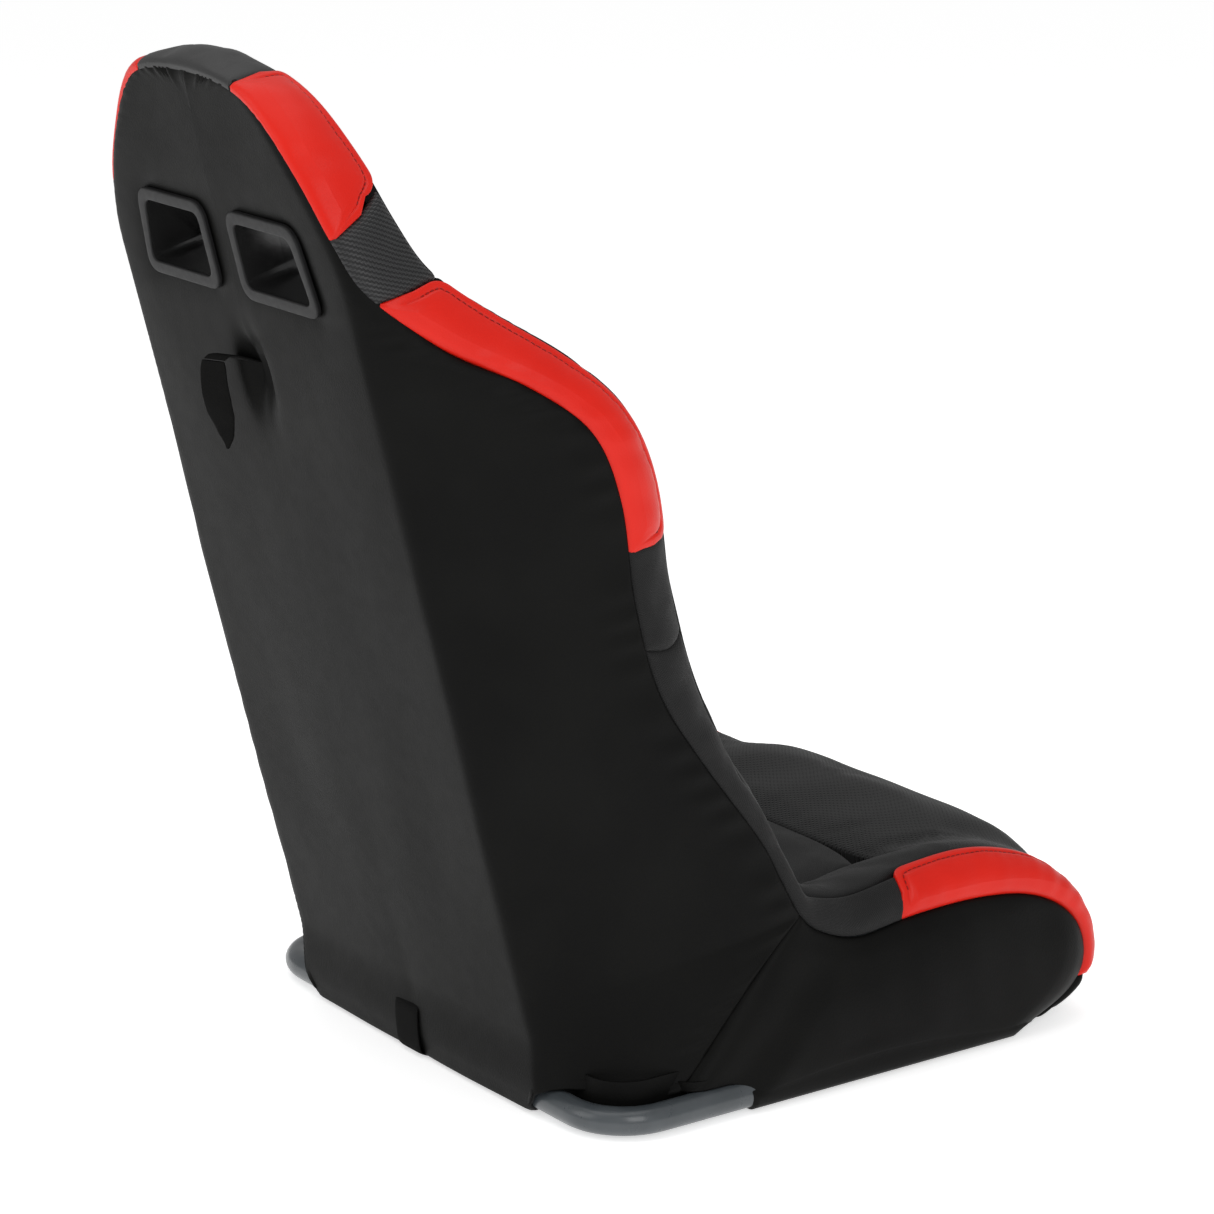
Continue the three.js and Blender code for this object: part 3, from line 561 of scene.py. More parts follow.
def paint_look():
    """Grey satin paint on tube, with a light orange peel."""
    look = Look("frame_paint", (0.135, 0.155, 0.170), 0.30, specular=0.5)
    look.shader.inputs["Coat Weight"].default_value = 0.25
    look.shader.inputs["Coat Roughness"].default_value = 0.2
    patches = look.ramp(look.noise(30, 4), 0.35, 0.7)
    look.color(look.mix(patches, (0.048, 0.056, 0.062), (0.064, 0.073, 0.080)))
    look.rough(look.ramp(look.noise(90, 3), 0.3, 0.7, 0.27, 0.36))
    look.bump((look.noise(260, 2), 0.1, 0.0004))
    return look.material


def cord_look():
    look = Look("lacing_cord", (0.012, 0.012, 0.012), 0.75, specular=0.3)
    look.color(look.mix(look.ramp(look.cells(900), 0.2, 0.6), (0.022, 0.022, 0.022), (0.007, 0.007, 0.007)))
    look.bump((look.cells(900), 0.5, 0.0006))
    return look.material


def zinc_look():
    look = Look("zinc_plate", (0.55, 0.56, 0.57), 0.32, metallic=1.0)
    look.color(look.mix(look.ramp(look.noise(120, 4), 0.3, 0.7), (0.45, 0.47, 0.48), (0.62, 0.62, 0.60)))
    look.rough(look.ramp(look.noise(200, 4), 0.3, 0.7, 0.26, 0.42))
    look.bump((look.noise(700, 3), 0.15, 0.0003))
    return look.material


def thread_look(name, color):
    look = Look(name, color, 0.55, specular=0.4)
    look.color(look.mix(look.ramp(look.noise(900, 2), 0.3, 0.7), tuple(0.7 * c for c in color), color))
    look.bump((look.noise(1600, 2), 0.5, 0.0003))
    return look.material


BLACK = vinyl_look("black_vinyl", (0.0038, 0.0038, 0.0036), (0.0054, 0.0054, 0.0050), 0.48, 0.07)
CAP = vinyl_look("head_vinyl", (0.019, 0.019, 0.019), (0.025, 0.025, 0.025), 0.46, 0.34)
RED = vinyl_look("red_vinyl", (0.64, 0.012, 0.005), (0.70, 0.016, 0.007), 0.36, 0.22, grain=0.25)
CARBON = carbon_look()
EMBOSSED = mesh_look("embossed_mesh", 4.2, (0.013, 0.013, 0.013), (0.002, 0.002, 0.002), 0.0012, 0.6)
FINE_MESH = mesh_look("fine_mesh", 2.1, (0.010, 0.010, 0.010), (0.004, 0.004, 0.004), 0.0005, 0.7)
SLING_MESH = mesh_look("sling_mesh", 3.2, (0.022, 0.022, 0.022), (0.004, 0.004, 0.004), 0.0010, 0.55)
SATIN = plastic_look("satin_plastic", (0.010, 0.010, 0.0103), 0.45, 0.2)
GLOSS = plastic_look("gloss_plastic", (0.014, 0.014, 0.014), 0.13, 0.8)
WEBBING = webbing_look()
PAINT = paint_look()
CORD = cord_look()
ZINC = zinc_look()
RED_THREAD = thread_look("red_thread", (0.30, 0.008, 0.006))

# ---------------------------------------------------------------- sewn panels

SLOT = {"inner": 30, "outer_top": 121, "outer_bottom": 134, "low": 752, "high": 810, "corner": 10}


def slot_distance(x, h):
    """Distance outside a harness slot's opening, in mm; below zero inside it."""
    x = np.abs(x)
    slope = (SLOT["outer_bottom"] - SLOT["outer_top"]) / (SLOT["high"] - SLOT["low"])
    outer = (x - (SLOT["outer_bottom"] - slope * (h - SLOT["low"]))) / math.hypot(1, slope)
    sides = np.stack([SLOT["inner"] - x, outer, SLOT["low"] - h, h - SLOT["high"]])
    r = SLOT["corner"]
    beyond = np.sqrt((np.maximum(sides + r, 0) ** 2).sum(0)) - r
    return np.where(beyond > -r, beyond, sides.max(0))


NEAR = (0.0, 0.6, 1.4, 2.6, 4.4, 7.0, 10.5)  # rows this far from a sewn edge
SEWN_IN = 3.0  # how deep a seam draws the cover in


def graded(length, step):
    """Places along a length, close together at both ends."""
    near = np.array(NEAR) * min(1.0, length / 2 / (NEAR[-1] + step / 2))
    inner = length - 2 * near[-1]
    count = max(1, int(round(inner / step)))
    between = near[-1] + inner * np.arange(1, count) / count
    return np.concatenate([near, between, length - near[::-1]])


class Panel:
    """A cut of upholstery between stations u0 and u1 and section points outer and inner, meshed on the chart.

    Without inner it spans both sides of the middle. start and stop bend its ends by mm along, as functions of
    the share across. Once it is meshed, x is mm along it, f the share across from inner to outer, and d the
    distance to its edge.
    """

    def __init__(self, u0, u1, outer, inner=None, step=6.0, start=None, stop=None):
        self.u0, self.u1, self.outer, self.inner = u0, u1, outer, inner
        self.step, self.start, self.stop = step, start, stop
        self.channels = 0.0
        us = np.linspace(u0 - 1, min(u1 + 1, chart.END), 500)
        low, high = self.edges(us)
        centre = chart(us, (low + high) / 2 if inner is not None else 0.6 * high)[0]
        self.lengths = along(centre)
        self.lengths -= np.interp(u0, us, self.lengths)
        self.run = us
        self.length = np.interp(u1, us, self.lengths)

    def edges(self, u):
        high = chart.across(u, self.value(self.outer, u))
        low = -high if self.inner is None else chart.across(u, self.value(self.inner, u))
        return low, high

    @staticmethod
    def value(bound, u):
        return bound(u) if callable(bound) else np.full(len(u), float(bound))

    def u_at(self, x):
        return np.interp(x, self.lengths, self.run)

    def width_at(self, u):
        low, high = self.edges(u)
        return high - low

    def place(self, x, share, inset):
        """Sets u and s from mm along, the share across the inset width, and the inset from the sides."""
        bent = x.copy()
        side = share * 0.5 + 0.5
        ease = min(90.0, self.length)
        if self.start:
            bent = bent + self.start(side) * smooth(1 - x / ease)
        if self.stop:
            bent = bent + self.stop(side) * smooth(1 - (self.length - x) / ease)
        self.u = self.u_at(bent)
        low, high = self.edges(self.u)
        self.width = high - low
        y = share * (self.width / 2 - inset)
        self.s = (low + high) / 2 + y
        self.x, self.y = bent, y
        self.f = y / self.width + 0.5
        self.points, self.normals = chart(self.u, self.s)

    def as_grid(self, cuts=()):
        """Rows along and columns across, close together at the edges and at the places in cuts."""
        xs = graded(self.length, self.step)
        for cut in cuts:
            fine = cut + np.array([-9, -6, -4, -2.4, -1.2, -0.5, 0, 0.5, 1.2, 2.4, 4, 6, 9])
            xs = np.concatenate([xs[(xs < fine[0] - 1) | (xs > fine[-1] + 1)], fine])
        xs = np.sort(xs)
        width = float(np.mean(self.width_at(np.linspace(self.u0, self.u1, 9))))
        ys = graded(width, self.step)
        inset = np.minimum(ys, width - ys)
        share = np.where(inset > 0, (ys - width / 2) / (width / 2), np.sign(ys - width / 2))
        x = np.repeat(xs, len(ys))
        self.place(x, np.tile(share, len(xs)), 0.0)
        self.faces = grid_faces(len(xs), len(ys))
        self.across_d = np.tile(inset, len(xs)) * self.width / width
        self.along_d = np.minimum(x, self.length - x)
        self.d = np.minimum(self.across_d, self.along_d)
        self.free = np.zeros(len(x))
        return self

    def as_rings(self, radii, depths):
        """Rings in from a rounded outline, round a grid.

        radii are the corners': start inner, start outer, stop inner, stop outer.
        """
        nc = 4
        width = float(np.mean(self.width_at(np.linspace(self.u0, self.u1, 9))))
        deep = min(depths[-1], width * 0.36)
        depths = np.array([v for v in depths if v < deep - 0.8] + [deep])
        nl = max(3 * nc, int(round((self.length - 2 * deep) / self.step)))
        ns = max(2 * nc + 2, int(round((width - 2 * deep) / (self.step * 0.8))))
        core_x = np.linspace(deep, self.length - deep, nl + 1)
        core_y = np.linspace(-1, 1, ns + 1)

        def long_side(i, first, last):
            """x and inset of the outline at step i of a long side between corners of two radii."""
            if i <= nc:
                a = math.radians(45 + 45 * i / nc)
                return first * (1 - math.cos(a)), first * (1 - math.sin(a))
            if i >= nl - nc:
                a = math.radians(45 + 45 * (nl - i) / nc)
                return self.length - last * (1 - math.cos(a)), last * (1 - math.sin(a))
            start = (first - core_x[nc]) * (1 - smooth((i - nc) / 6))
            stop = (self.length - last - core_x[nl - nc]) * (1 - smooth((nl - nc - i) / 6))
            return core_x[i] + start + stop, 0.0

        def short_side(k, low, high):
            if k <= nc:
                a = math.radians(45 * (1 - k / nc))
                return low * (1 - math.cos(a)), low * (1 - math.sin(a)), -1.0
            if k >= ns - nc:
                a = math.radians(45 * (1 - (ns - k) / nc))
                return high * (1 - math.cos(a)), high * (1 - math.sin(a)), 1.0
            t = (k - nc) / (ns - 2 * nc)
            return 0.0, lerp(low, high, t), 2 * t - 1

        outline, core = [], []
        for i in range(nl):
            x, q = long_side(i, radii[0], radii[2])
            outline.append((x, -1.0, q))
            core.append((i, 0))
        for k in range(ns):
            x, q, share = short_side(k, radii[2], radii[3])
            outline.append((self.length - x, share, q))
            core.append((nl, k))
        for i in range(nl, 0, -1):
            x, q = long_side(i, radii[1], radii[3])
            outline.append((x, 1.0, q))
            core.append((i, ns))
        for k in range(ns, 0, -1):
            x, q, share = short_side(k, radii[0], radii[1])
            outline.append((x, share, q))
            core.append((0, k))
        outline = np.array(outline)
        centre = np.array([(core_x[i], core_y[k], deep) for i, k in core])
        loop = len(outline)
        rings = [lerp(outline, centre, depth / deep) for depth in depths[:-1]]
        gx, gy = np.meshgrid(core_x, core_y, indexing="ij")
        grid = np.stack([gx.ravel(), gy.ravel(), np.full(gx.size, deep)], 1)
        every = np.concatenate([*rings, grid])
        self.place(every[:, 0], every[:, 1], every[:, 2])
        base = len(rings) * loop
        inner_loop = np.array([base + i * (ns + 1) + k for i, k in core])
        loops = [np.arange(loop) + r * loop for r in range(len(rings))] + [inner_loop]
        quads = []
        for a, b in zip(loops[:-1], loops[1:]):
            quads.append(np.stack([a, np.roll(a, -1), np.roll(b, -1), b], 1))
        self.faces = np.concatenate([*quads, grid_faces(nl + 1, ns + 1)[:, ::-1] + base])
        self.loops, self.depths = loops, depths
        inside = np.minimum(np.minimum(grid[:, 0], self.length - grid[:, 0]),
                            (1 - np.abs(grid[:, 1])) * (width / 2 - deep) + deep)
        self.d = np.concatenate([np.repeat(depths[:-1], loop), np.maximum(inside, deep)])
        # 1 where the nearest edge is free (top-stitched), 0 where it is sewn to a cover
        share = outline[:, 1]
        outer_d = lerp(np.where(share > 0, outline[:, 2], 40), 40, np.clip((1 - share) * 2, 0, 1))
        run = smooth((outer_d - 1.5) / 5)
        self.free = np.concatenate([*[run] * len(rings), np.ones(len(grid))])
        return self

    def flat(self):
        return np.stack([self.x, self.y], 1)

    def uvs(self):
        return np.stack([self.x, self.s], 1)


def sewn(d, crown, soft=14.0, deep=SEWN_IN):
    """Height over the chart of a sewn panel at a distance from its edge."""
    return -deep * np.exp(-d / 2.0) - 0.9 * np.exp(-d / 6.0) + crown * (1 - np.exp(-d / soft))


def laid_on(d, free, crown):
    """Height of a patch that is laid on and top-stitched, except where its edge is sewn to a cover."""
    lip = 1.5 * (1 - np.exp(-d / 0.35)) - 0.15
    groove = -1.5 * np.exp(-(((d - 8.0) / 1.3) ** 2))
    top = lip + groove + crown * (1 - np.exp(-np.maximum(d - 8, 0) / 9))
    edge = sewn(d, crown + 1.2)
    return lerp(edge, top, free)


pads = []  # padded pieces and how firmly each vertex is held while they are blown up


def panel_piece(name, panel, height, look, slot, side=1, thickness=4.0, straight_back=False):
    """The closed body of a panel that stands height mm over the chart."""
    outer = panel.points + panel.normals * height[:, None]
    if straight_back:
        back = panel.points + inward(np.abs(panel.u)) * thickness
    else:
        back = panel.points - panel.normals * (SEWN_IN + 0.9 + thickness)
    verts, faces = closed_shell(outer, panel.faces, back)
    verts[:, 0] *= side
    uv = panel.uvs()
    piece = make_piece(name, verts, faces, look, slot, uvs=np.concatenate([uv, uv]))
    held = np.maximum(1 - smooth((panel.d - 2) / 7), panel.channels)
    held = np.concatenate([held, np.ones(len(held))])[made_from[name]]
    pads.append((piece, held))
    return piece


def stitches(path, normals, pitch=5.6, length=3.7, radius=0.42):
    """A row of thread stitches lying on a surface, each ending in its hole."""
    path, normals = np.asarray(path), np.asarray(normals)
    lengths = along(path)
    read = lambda run, at: np.array([np.interp(at, lengths, run[:, k]) for k in range(3)])
    parts = []
    for n in range(int(lengths[-1] / pitch)):
        at = (n + 0.5) * pitch
        knots = []
        for t, lift in ((-0.5, -0.5), (-0.42, 0.05), (-0.2, 0.3), (0.2, 0.3), (0.42, 0.05), (0.5, -0.5)):
            normal = unit(read(normals, at + t * length))
            knots.append(read(path, at + t * length) + normal * lift)
        thickness = radius * np.array([0.6, 1, 1, 1, 1, 0.6])
        parts.append(sweep(np.array(knots), thickness, sides=8))
    return merged(parts)


BOTH = (("left", 1), ("right", -1))
PATCH_RINGS = (0.0, 0.25, 0.7, 1.4, 3.0, 5.0, 6.4, 7.2, 8.0, 8.8, 9.8, 12.0, 15.0, 18.5)


def red_patch(name, stands_for, side, seed, u0, u1, inner, radii, start=None, stop=None):
    """A red vinyl patch over a bolster's outer band, laid on and top-stitched on its free edges."""
    panel = Panel(u0, u1, outer=0.0, inner=inner, step=4.0, start=start, stop=stop)
    panel.as_rings(radii, PATCH_RINGS)
    height = laid_on(panel.d, panel.free, crown=1.6)
    across = panel.flat()
    inside = smooth(panel.d / 9)
    height += 0.45 * wobble(across / np.array([1.0, 2.2]), 16, seed) * inside
    pucker = np.sin(panel.x * 2 * np.pi / 11.2 + 2 * wobble(across, 40, seed + 1))
    height += 0.22 * pucker * np.exp(-(((panel.d - 11) / 5.0) ** 2)) * panel.free
    piece = panel_piece(name, panel, height, RED, "red_vinyl", side)
    for node in stands_for:
        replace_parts(piece, node)
    loop = panel.loops[int(np.argmin(np.abs(panel.depths - 8.0)))]
    loop = np.concatenate([loop, loop[:1]])
    on = panel.free[loop] > 0.75
    line = panel.points[loop] + panel.normals[loop] * (height[loop] + 0.25)[:, None]
    start_at = int(np.argmin(on))
    order = np.r_[start_at : len(loop) - 1, 0 : start_at]
    kept = [i for i in order if on[i]]
    verts, faces = stitches(line[kept], panel.normals[loop][kept])
    verts[:, 0] *= side
    make_piece(name + "_stitches", verts, faces, RED_THREAD, "red_vinyl")
    return piece


def band(name, side, seed, u0, u1, look, slot, crown=0.8, start=None, stop=None, stands_for=(), inner=4.0):
    """A sewn panel over a bolster's outer band."""
    panel = Panel(u0, u1, outer=0.0, inner=inner, step=6.0, start=start, stop=stop).as_grid()
    flat = panel.flat()
    height = sewn(panel.d, crown) + 0.5 * wobble(flat, 26, seed) * smooth(panel.d / 10)
    piece = panel_piece(name, panel, height, look, slot, side)
    for node in stands_for:
        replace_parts(piece, node)
    return piece


def hip_skew(f):
    return 7 * np.sin(np.pi * f)


# stations of the outer band's cuts, down the sitter's side
HEAD_PATCH_U = (0.70, 2.86)
NECK_U = 4.1
SHOULDER_END_U = 8.55
TORSO_U = (8.5, 9.52)
HIP_END_U = 16.85
THIGH_PATCH_U = (16.8, 22.5)
END_U = 24.0
LAP = 4.45  # section point that the thigh patch laps to, past the crest
CROTCH_U = (12.95, 13.3)  # where the seat meets the back: at the middle, and on the bolsters
CROSS_SEAM_U = 18.0


def head_corner(f):
    """The head patch ends further down at the seam than at the crest."""
    return lerp(-20, 6, f)


for where, side in BOTH:
    red_patch(f"head_patch_{where}", (), side, 11 + side, *HEAD_PATCH_U, 4.0, (8, 3, 20, 3), stop=head_corner)
    band(f"neck_panel_{where}", side, 21 + side, HEAD_PATCH_U[1], NECK_U, CARBON, "vinyl",
         start=lambda f: head_corner(f) - 1)
    red_patch(f"shoulder_patch_{where}", (f"shoulder_bolster_{where}",), side, 31 + side, NECK_U,
              SHOULDER_END_U, 3.9, (14, 3, 14, 3))
    band(f"torso_band_{where}", side, 41 + side, *TORSO_U, FINE_MESH, "mesh_fabric", stop=hip_skew)
    band(f"hip_band_{where}", side, 51 + side, TORSO_U[1], HIP_END_U, FINE_MESH, "mesh_fabric",
         start=hip_skew, stands_for=(f"hip_bolster_{where}",))
    red_patch(f"thigh_patch_{where}", (f"thigh_bolster_{where}",), side, 61 + side, *THIGH_PATCH_U, LAP,
              (12, 3, 3, 3))
    band(f"foot_band_{where}", side, 65 + side, THIGH_PATCH_U[1], END_U, BLACK, "vinyl", inner=LAP)

# head cap
cap = Panel(-0.69, 0.69, outer=0.0, inner=4.0, step=5.0).as_grid()
cap_height = sewn(cap.d, 1.0) + 0.5 * wobble(cap.flat(), 22, 5) * smooth(cap.d / 10)
panel_piece("head_cap", cap, cap_height, CAP, "vinyl")


def bolster_face(name, side, seed, u0, u1, outer, look, slot):
    """The inner face of a bolster, from its crest down to the middle cushion."""
    panel = Panel(u0, u1, outer=outer, inner=float(FOOT), step=7.0).as_grid()
    flat = panel.flat()
    height = sewn(panel.d, 1.6, soft=20)
    height += 0.9 * wobble(flat / np.array([1.4, 1]), 32, seed) * smooth(panel.d / 14)
    piece = panel_piece(name, panel, height, look, slot, side, thickness=9.0)
    return piece


def under_patch(u):
    """The bolster face's outer edge: the crest, or below it where the thigh patch laps over."""
    return 4.0 + (LAP - 4.0) * smooth((u - 16.4) / 0.5)


for where, side in BOTH:
    bolster_face(f"back_bolster_face_{where}", side, 71 + side, NECK_U, CROTCH_U[1], 4.0, BLACK, "vinyl")
    bolster_face(f"thigh_bolster_face_{where}", side, 81 + side, CROTCH_U[1], CROSS_SEAM_U, under_patch,
                 FINE_MESH, "mesh_fabric")

# head front: both halves are one folded sheet, sewn along the crest and the neck
head = Panel(-NECK_U, NECK_U, outer=4.0, inner=12.0, step=3.5).as_grid()
head_centres = head.points[head.faces].mean(1)
head.faces = head.faces[slot_distance(head_centres[:, 0], height_of(head_centres)) > 5.5]
head_d = np.minimum(np.where(head.f > 0.5, head.across_d, 99), head.along_d)
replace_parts(panel_piece("head_front", head, sewn(head_d, 0.0), BLACK, "vinyl", straight_back=True,
                                  thickness=16.0), "head_pad")


def channel(panel, places, deep, width):
    """Grooves sewn across a cushion."""
    total = np.zeros(len(panel.x))
    for place in places:
        total -= deep * np.exp(-np.abs(panel.x - place) / width)
    return total


def cushion(name, u0, u1, look, stands_for, seed, lines=0, outer=float(FOOT), crown=4.0, start=None,
            stop=None, thickness=18.0, straight=True):
    """A middle cushion, crowned between its seams, with lines sewn across it."""
    panel = Panel(u0, u1, outer=outer, step=8.0, start=start, stop=stop)
    places = [panel.length * (n + 1) / (lines + 1) for n in range(lines)]
    panel.as_grid(places)
    flat = panel.flat()
    reach = smooth(panel.across_d / 14)
    if places:
        nearest = np.abs(panel.x[:, None] - np.array(places)).min(1)
        panel.channels = 1 - smooth((nearest - 1) / 5)
    height = sewn(panel.d, crown, soft=24) + channel(panel, places, crown + 1.0, 5.0) * reach
    height += 0.8 * wobble(flat, 45, seed) * smooth(panel.d / 18)
    piece = panel_piece(name, panel, height, look, "mesh_fabric", straight_back=straight, thickness=thickness)
    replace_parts(piece, *stands_for)
    return piece


def cross_seam(f):
    """The cushion's cross seam bows to the rear at its sides."""
    return -22 * (2 * f - 1) ** 4


cushion("back_centre", NECK_U, CROTCH_U[0], EMBOSSED, ("back_cushion",), 91, lines=5)
cushion("seat_centre", CROTCH_U[0], CROSS_SEAM_U, FINE_MESH, ("seat_cushion",), 92, crown=3.0,
        stop=cross_seam)
cushion("front_centre", CROSS_SEAM_U, END_U, EMBOSSED, ("front_roll",), 93, outer=under_patch, crown=2.0,
        start=cross_seam, thickness=16.0, straight=False)


def blow_up(chosen, pressure=3.0, frames=14, out_cap=3.5, in_cap=1.5):
    """Cloth simulation of the padding: each cover swells between its seams, which are held."""
    scene = bpy.context.scene
    for piece, held in chosen:
        group = piece.vertex_groups.new(name="held")
        for level in np.unique(np.round(held, 1)):
            group.add(np.flatnonzero(np.round(held, 1) == level).tolist(), float(level), "REPLACE")
        cloth = piece.modifiers.new("Cloth", "CLOTH")
        cloth.settings.quality = 4
        cloth.settings.use_pressure = True
        cloth.settings.uniform_pressure_force = pressure
        cloth.settings.shrink_min = -0.004
        cloth.settings.vertex_group_mass = "held"
        cloth.settings.effector_weights.gravity = 0
        cloth.point_cache.frame_end = frames
    for number in range(1, frames + 1):
        scene.frame_set(number)
    found = bpy.context.evaluated_depsgraph_get()
    for piece, held in chosen:
        count = len(piece.data.vertices)
        rest, swollen, normal = (np.zeros(count * 3) for _ in range(3))
        piece.data.vertices.foreach_get("co", rest)
        piece.data.vertices.foreach_get("normal", normal)
        piece.evaluated_get(found).data.vertices.foreach_get("co", swollen)
        rest, swollen, normal = (v.reshape(-1, 3) for v in (rest, swollen, normal))
        moved = swollen - rest
        outward = (moved * normal).sum(1)
        capped = np.clip(outward, -in_cap * MM, out_cap * MM)
        sliding = moved - normal * outward[:, None]
        sliding *= np.minimum(1, 1.5 * MM / np.maximum(np.linalg.norm(sliding, axis=1), 1e-9))[:, None]
        share = (1 - held)[:, None]
        settled = rest + (normal * capped[:, None] + sliding) * share
        piece.modifiers.remove(piece.modifiers["Cloth"])
        piece.vertex_groups.clear()
        piece.data.vertices.foreach_set("co", settled.ravel())
        piece.data.update()
    scene.frame_set(1)


blow_up([pad for pad in pads if "patch" not in pad[0].name])

# ---------------------------------------------------------------- covers

COVER_T = 2.2
PANEL_HALF = ((0, 200), (460, 200), (560, 195), (760, 194), (830, 190))
FLANGE = 11.0
CROWN_H = 900.0  # on the middle line the head's rows fan out from here
NECK_H = 815.0  # and below here they run level
RAIL_R = 12.7
RAIL_Z = RAIL_R + 3
RAIL_REAR_X, RAIL_FRONT_X = 279.0, 262.0
RAIL_REAR_Y, RAIL_FRONT_Y = 163.0, -296.0
RAIL_BEND = 52.0
HIP_FOOT = np.array([270.0, 79.0, 30.0])
STEP_ACROSS = 1.2  # the rear cover's rows are traced in steps of this


def rail_x(y):
    return np.interp(y, [RAIL_FRONT_Y, RAIL_REAR_Y - RAIL_BEND], [RAIL_FRONT_X, RAIL_REAR_X])


def hip_line(t):
    """The side seam from the crotch (0) down to the ring (1), bowed a little forward at its top."""
    top = seam(np.array([14.0]))[0]
    line = lerp(top, HIP_FOOT, t[:, None])
    line[:, 1] += 7 * np.sin(np.pi * t) * (1 - t)
    return line


def flare(height):
    """How far the rear cover stands back of its plane where it goes over the ring."""
    return np.where(height < 22, 9.4 - (height - 8) * 0.03, 9 * (1 - smooth((height - 22) / 58)))


HOLE = {"x": 9.0, "h": 668.0, "half_x": 10.0, "half_h": 26.0}  # where the upper strap comes out


def rear_shape(x, h):
    """Depth added to the flat rear panel: hollows round the slots, the strap's pocket, soft waves."""
    out = slot_distance(x, h) - FLANGE
    near_slot = np.exp(-np.maximum(out, 0) / 13)
    between = np.exp(-((x / 16) ** 2)) * np.exp(-(((h - 782) / 42) ** 2))
    pocket = np.sqrt(((x - HOLE["x"]) / HOLE["half_x"]) ** 2 + ((h - HOLE["h"]) / HOLE["half_h"]) ** 2)
    dent = 11 * np.exp(-(pocket**2) * 0.9)
    dent += 5.0 * np.exp(-(((x - HOLE["x"] + 16) / 24) ** 2) - ((h - HOLE["h"]) / 44) ** 2)
    flat = np.stack([x, h * 0.55], 1)
    waves = 0.8 * wobble(flat, 120, 201) + 0.25 * wobble(flat, 45, 202)
    bulge = smooth((x + 230) / 200) * smooth((230 - x) / 200) * smooth(h / 200) * smooth((930 - h) / 120)
    spread_out = -3.0 * bulge
    return 3.4 * near_slot + 2.2 * between + dent + waves * (1 - 0.6 * near_slot) + spread_out


def rear_cover():
    """The stretched cover: from the seam round the back, hollowed at the slots, and under the ring."""
    border_u = np.linspace(0, 14, 1400, endpoint=False)
    border = np.concatenate([seam(border_u), hip_line(np.linspace(0, 1, 200))])
    border = evenly(border, 3.6)
    rows = len(border)
    bx, bh, bd = border[:, 0], height_of(border), np.maximum(depth_of(border), 0)
    travelled = along(border)
    neck = travelled[np.argmax(bh < NECK_H)]
    fan = CROWN_H - (CROWN_H - NECK_H) * np.minimum(travelled / neck, 1) ** 2.58
    centre_h = np.where(bh > NECK_H, fan, bh)
    corner_x = np.minimum(np.interp(bh, *zip(*PANEL_HALF)), bx)
    wall = np.linspace(1, 0, 90, endpoint=False)
    flat = np.linspace(0, 1, 150)
    near = np.array([0.0, 0.5, 1.2, 2.2, 3.6, 5.6, 8.2, 11.5, 15.5, 20])
    columns = 64
    verts = np.zeros((rows, len(near) + columns, 3))
    apart = np.zeros((rows, len(near) + columns))
    for i in range(rows):
        swell = 14 * 4 * wall * (1 - wall) * min(1.0, bd[i] / 90) * 0.6
        side_x = lerp(corner_x[i], bx[i], wall) + swell
        path = np.concatenate([
            np.stack([side_x, np.full(90, bh[i]), bd[i] * wall], 1),
            np.stack([corner_x[i] * (1 - flat), lerp(bh[i], centre_h[i], flat), 0 * flat], 1),
        ])
        path = evenly(path, STEP_ACROSS)
        path[1:] = softened(path, 5.0 / STEP_ACROSS, mirrored=True)[1:]
        path[-1, 0] = 0
        lengths = along(path)
        scale = min(1.0, lengths[-1] / 60)
        even = lerp(near[-1] * scale, lengths[-1], np.arange(1, columns + 1) / columns)
        at = np.concatenate([near * scale, even])
        verts[i] = np.stack([np.interp(at, lengths, path[:, k]) for k in range(3)], 1)
        apart[i] = at
    x, h, d = verts[..., 0].ravel(), verts[..., 1].ravel(), verts[..., 2].ravel()
    apart = apart.ravel()
    run = np.repeat(travelled, len(near) + columns)
    on_panel = smooth(1 - d / 14) * smooth((np.repeat(corner_x, len(near) + columns) + 6 - x) / 10)
    return x, h, d, apart, run, on_panel, (rows, len(near) + columns)


def softened(path, sigma, mirrored=False):
    """A path with its corners eased over sigma steps. Its ends hold still, or it ends on the middle plane."""
    kernel, reach = bell(sigma)
    beyond = path[-2 : -reach - 2 : -1]
    after = beyond * np.array([-1, 1, 1]) if mirrored else 2 * path[-1:] - beyond
    run = np.concatenate([2 * path[:1] - path[reach:0:-1], path, after])
    return np.stack([np.convolve(run[:, k], kernel, "valid") for k in range(3)], 1)


def lower_edge(x, d):
    """Height of the rear cover's lower edge: under the ring on the panel, over the bare tube at the side."""
    ahead = np.where(d > 1, d, x - 197.0)  # from the panel's corner: forward on the side, inward on the panel
    return np.interp(ahead, [-22, -14, -6, 0, 14, 34, 60, 78], [8, 14, 26, 31, 31, 26, 14, 8])


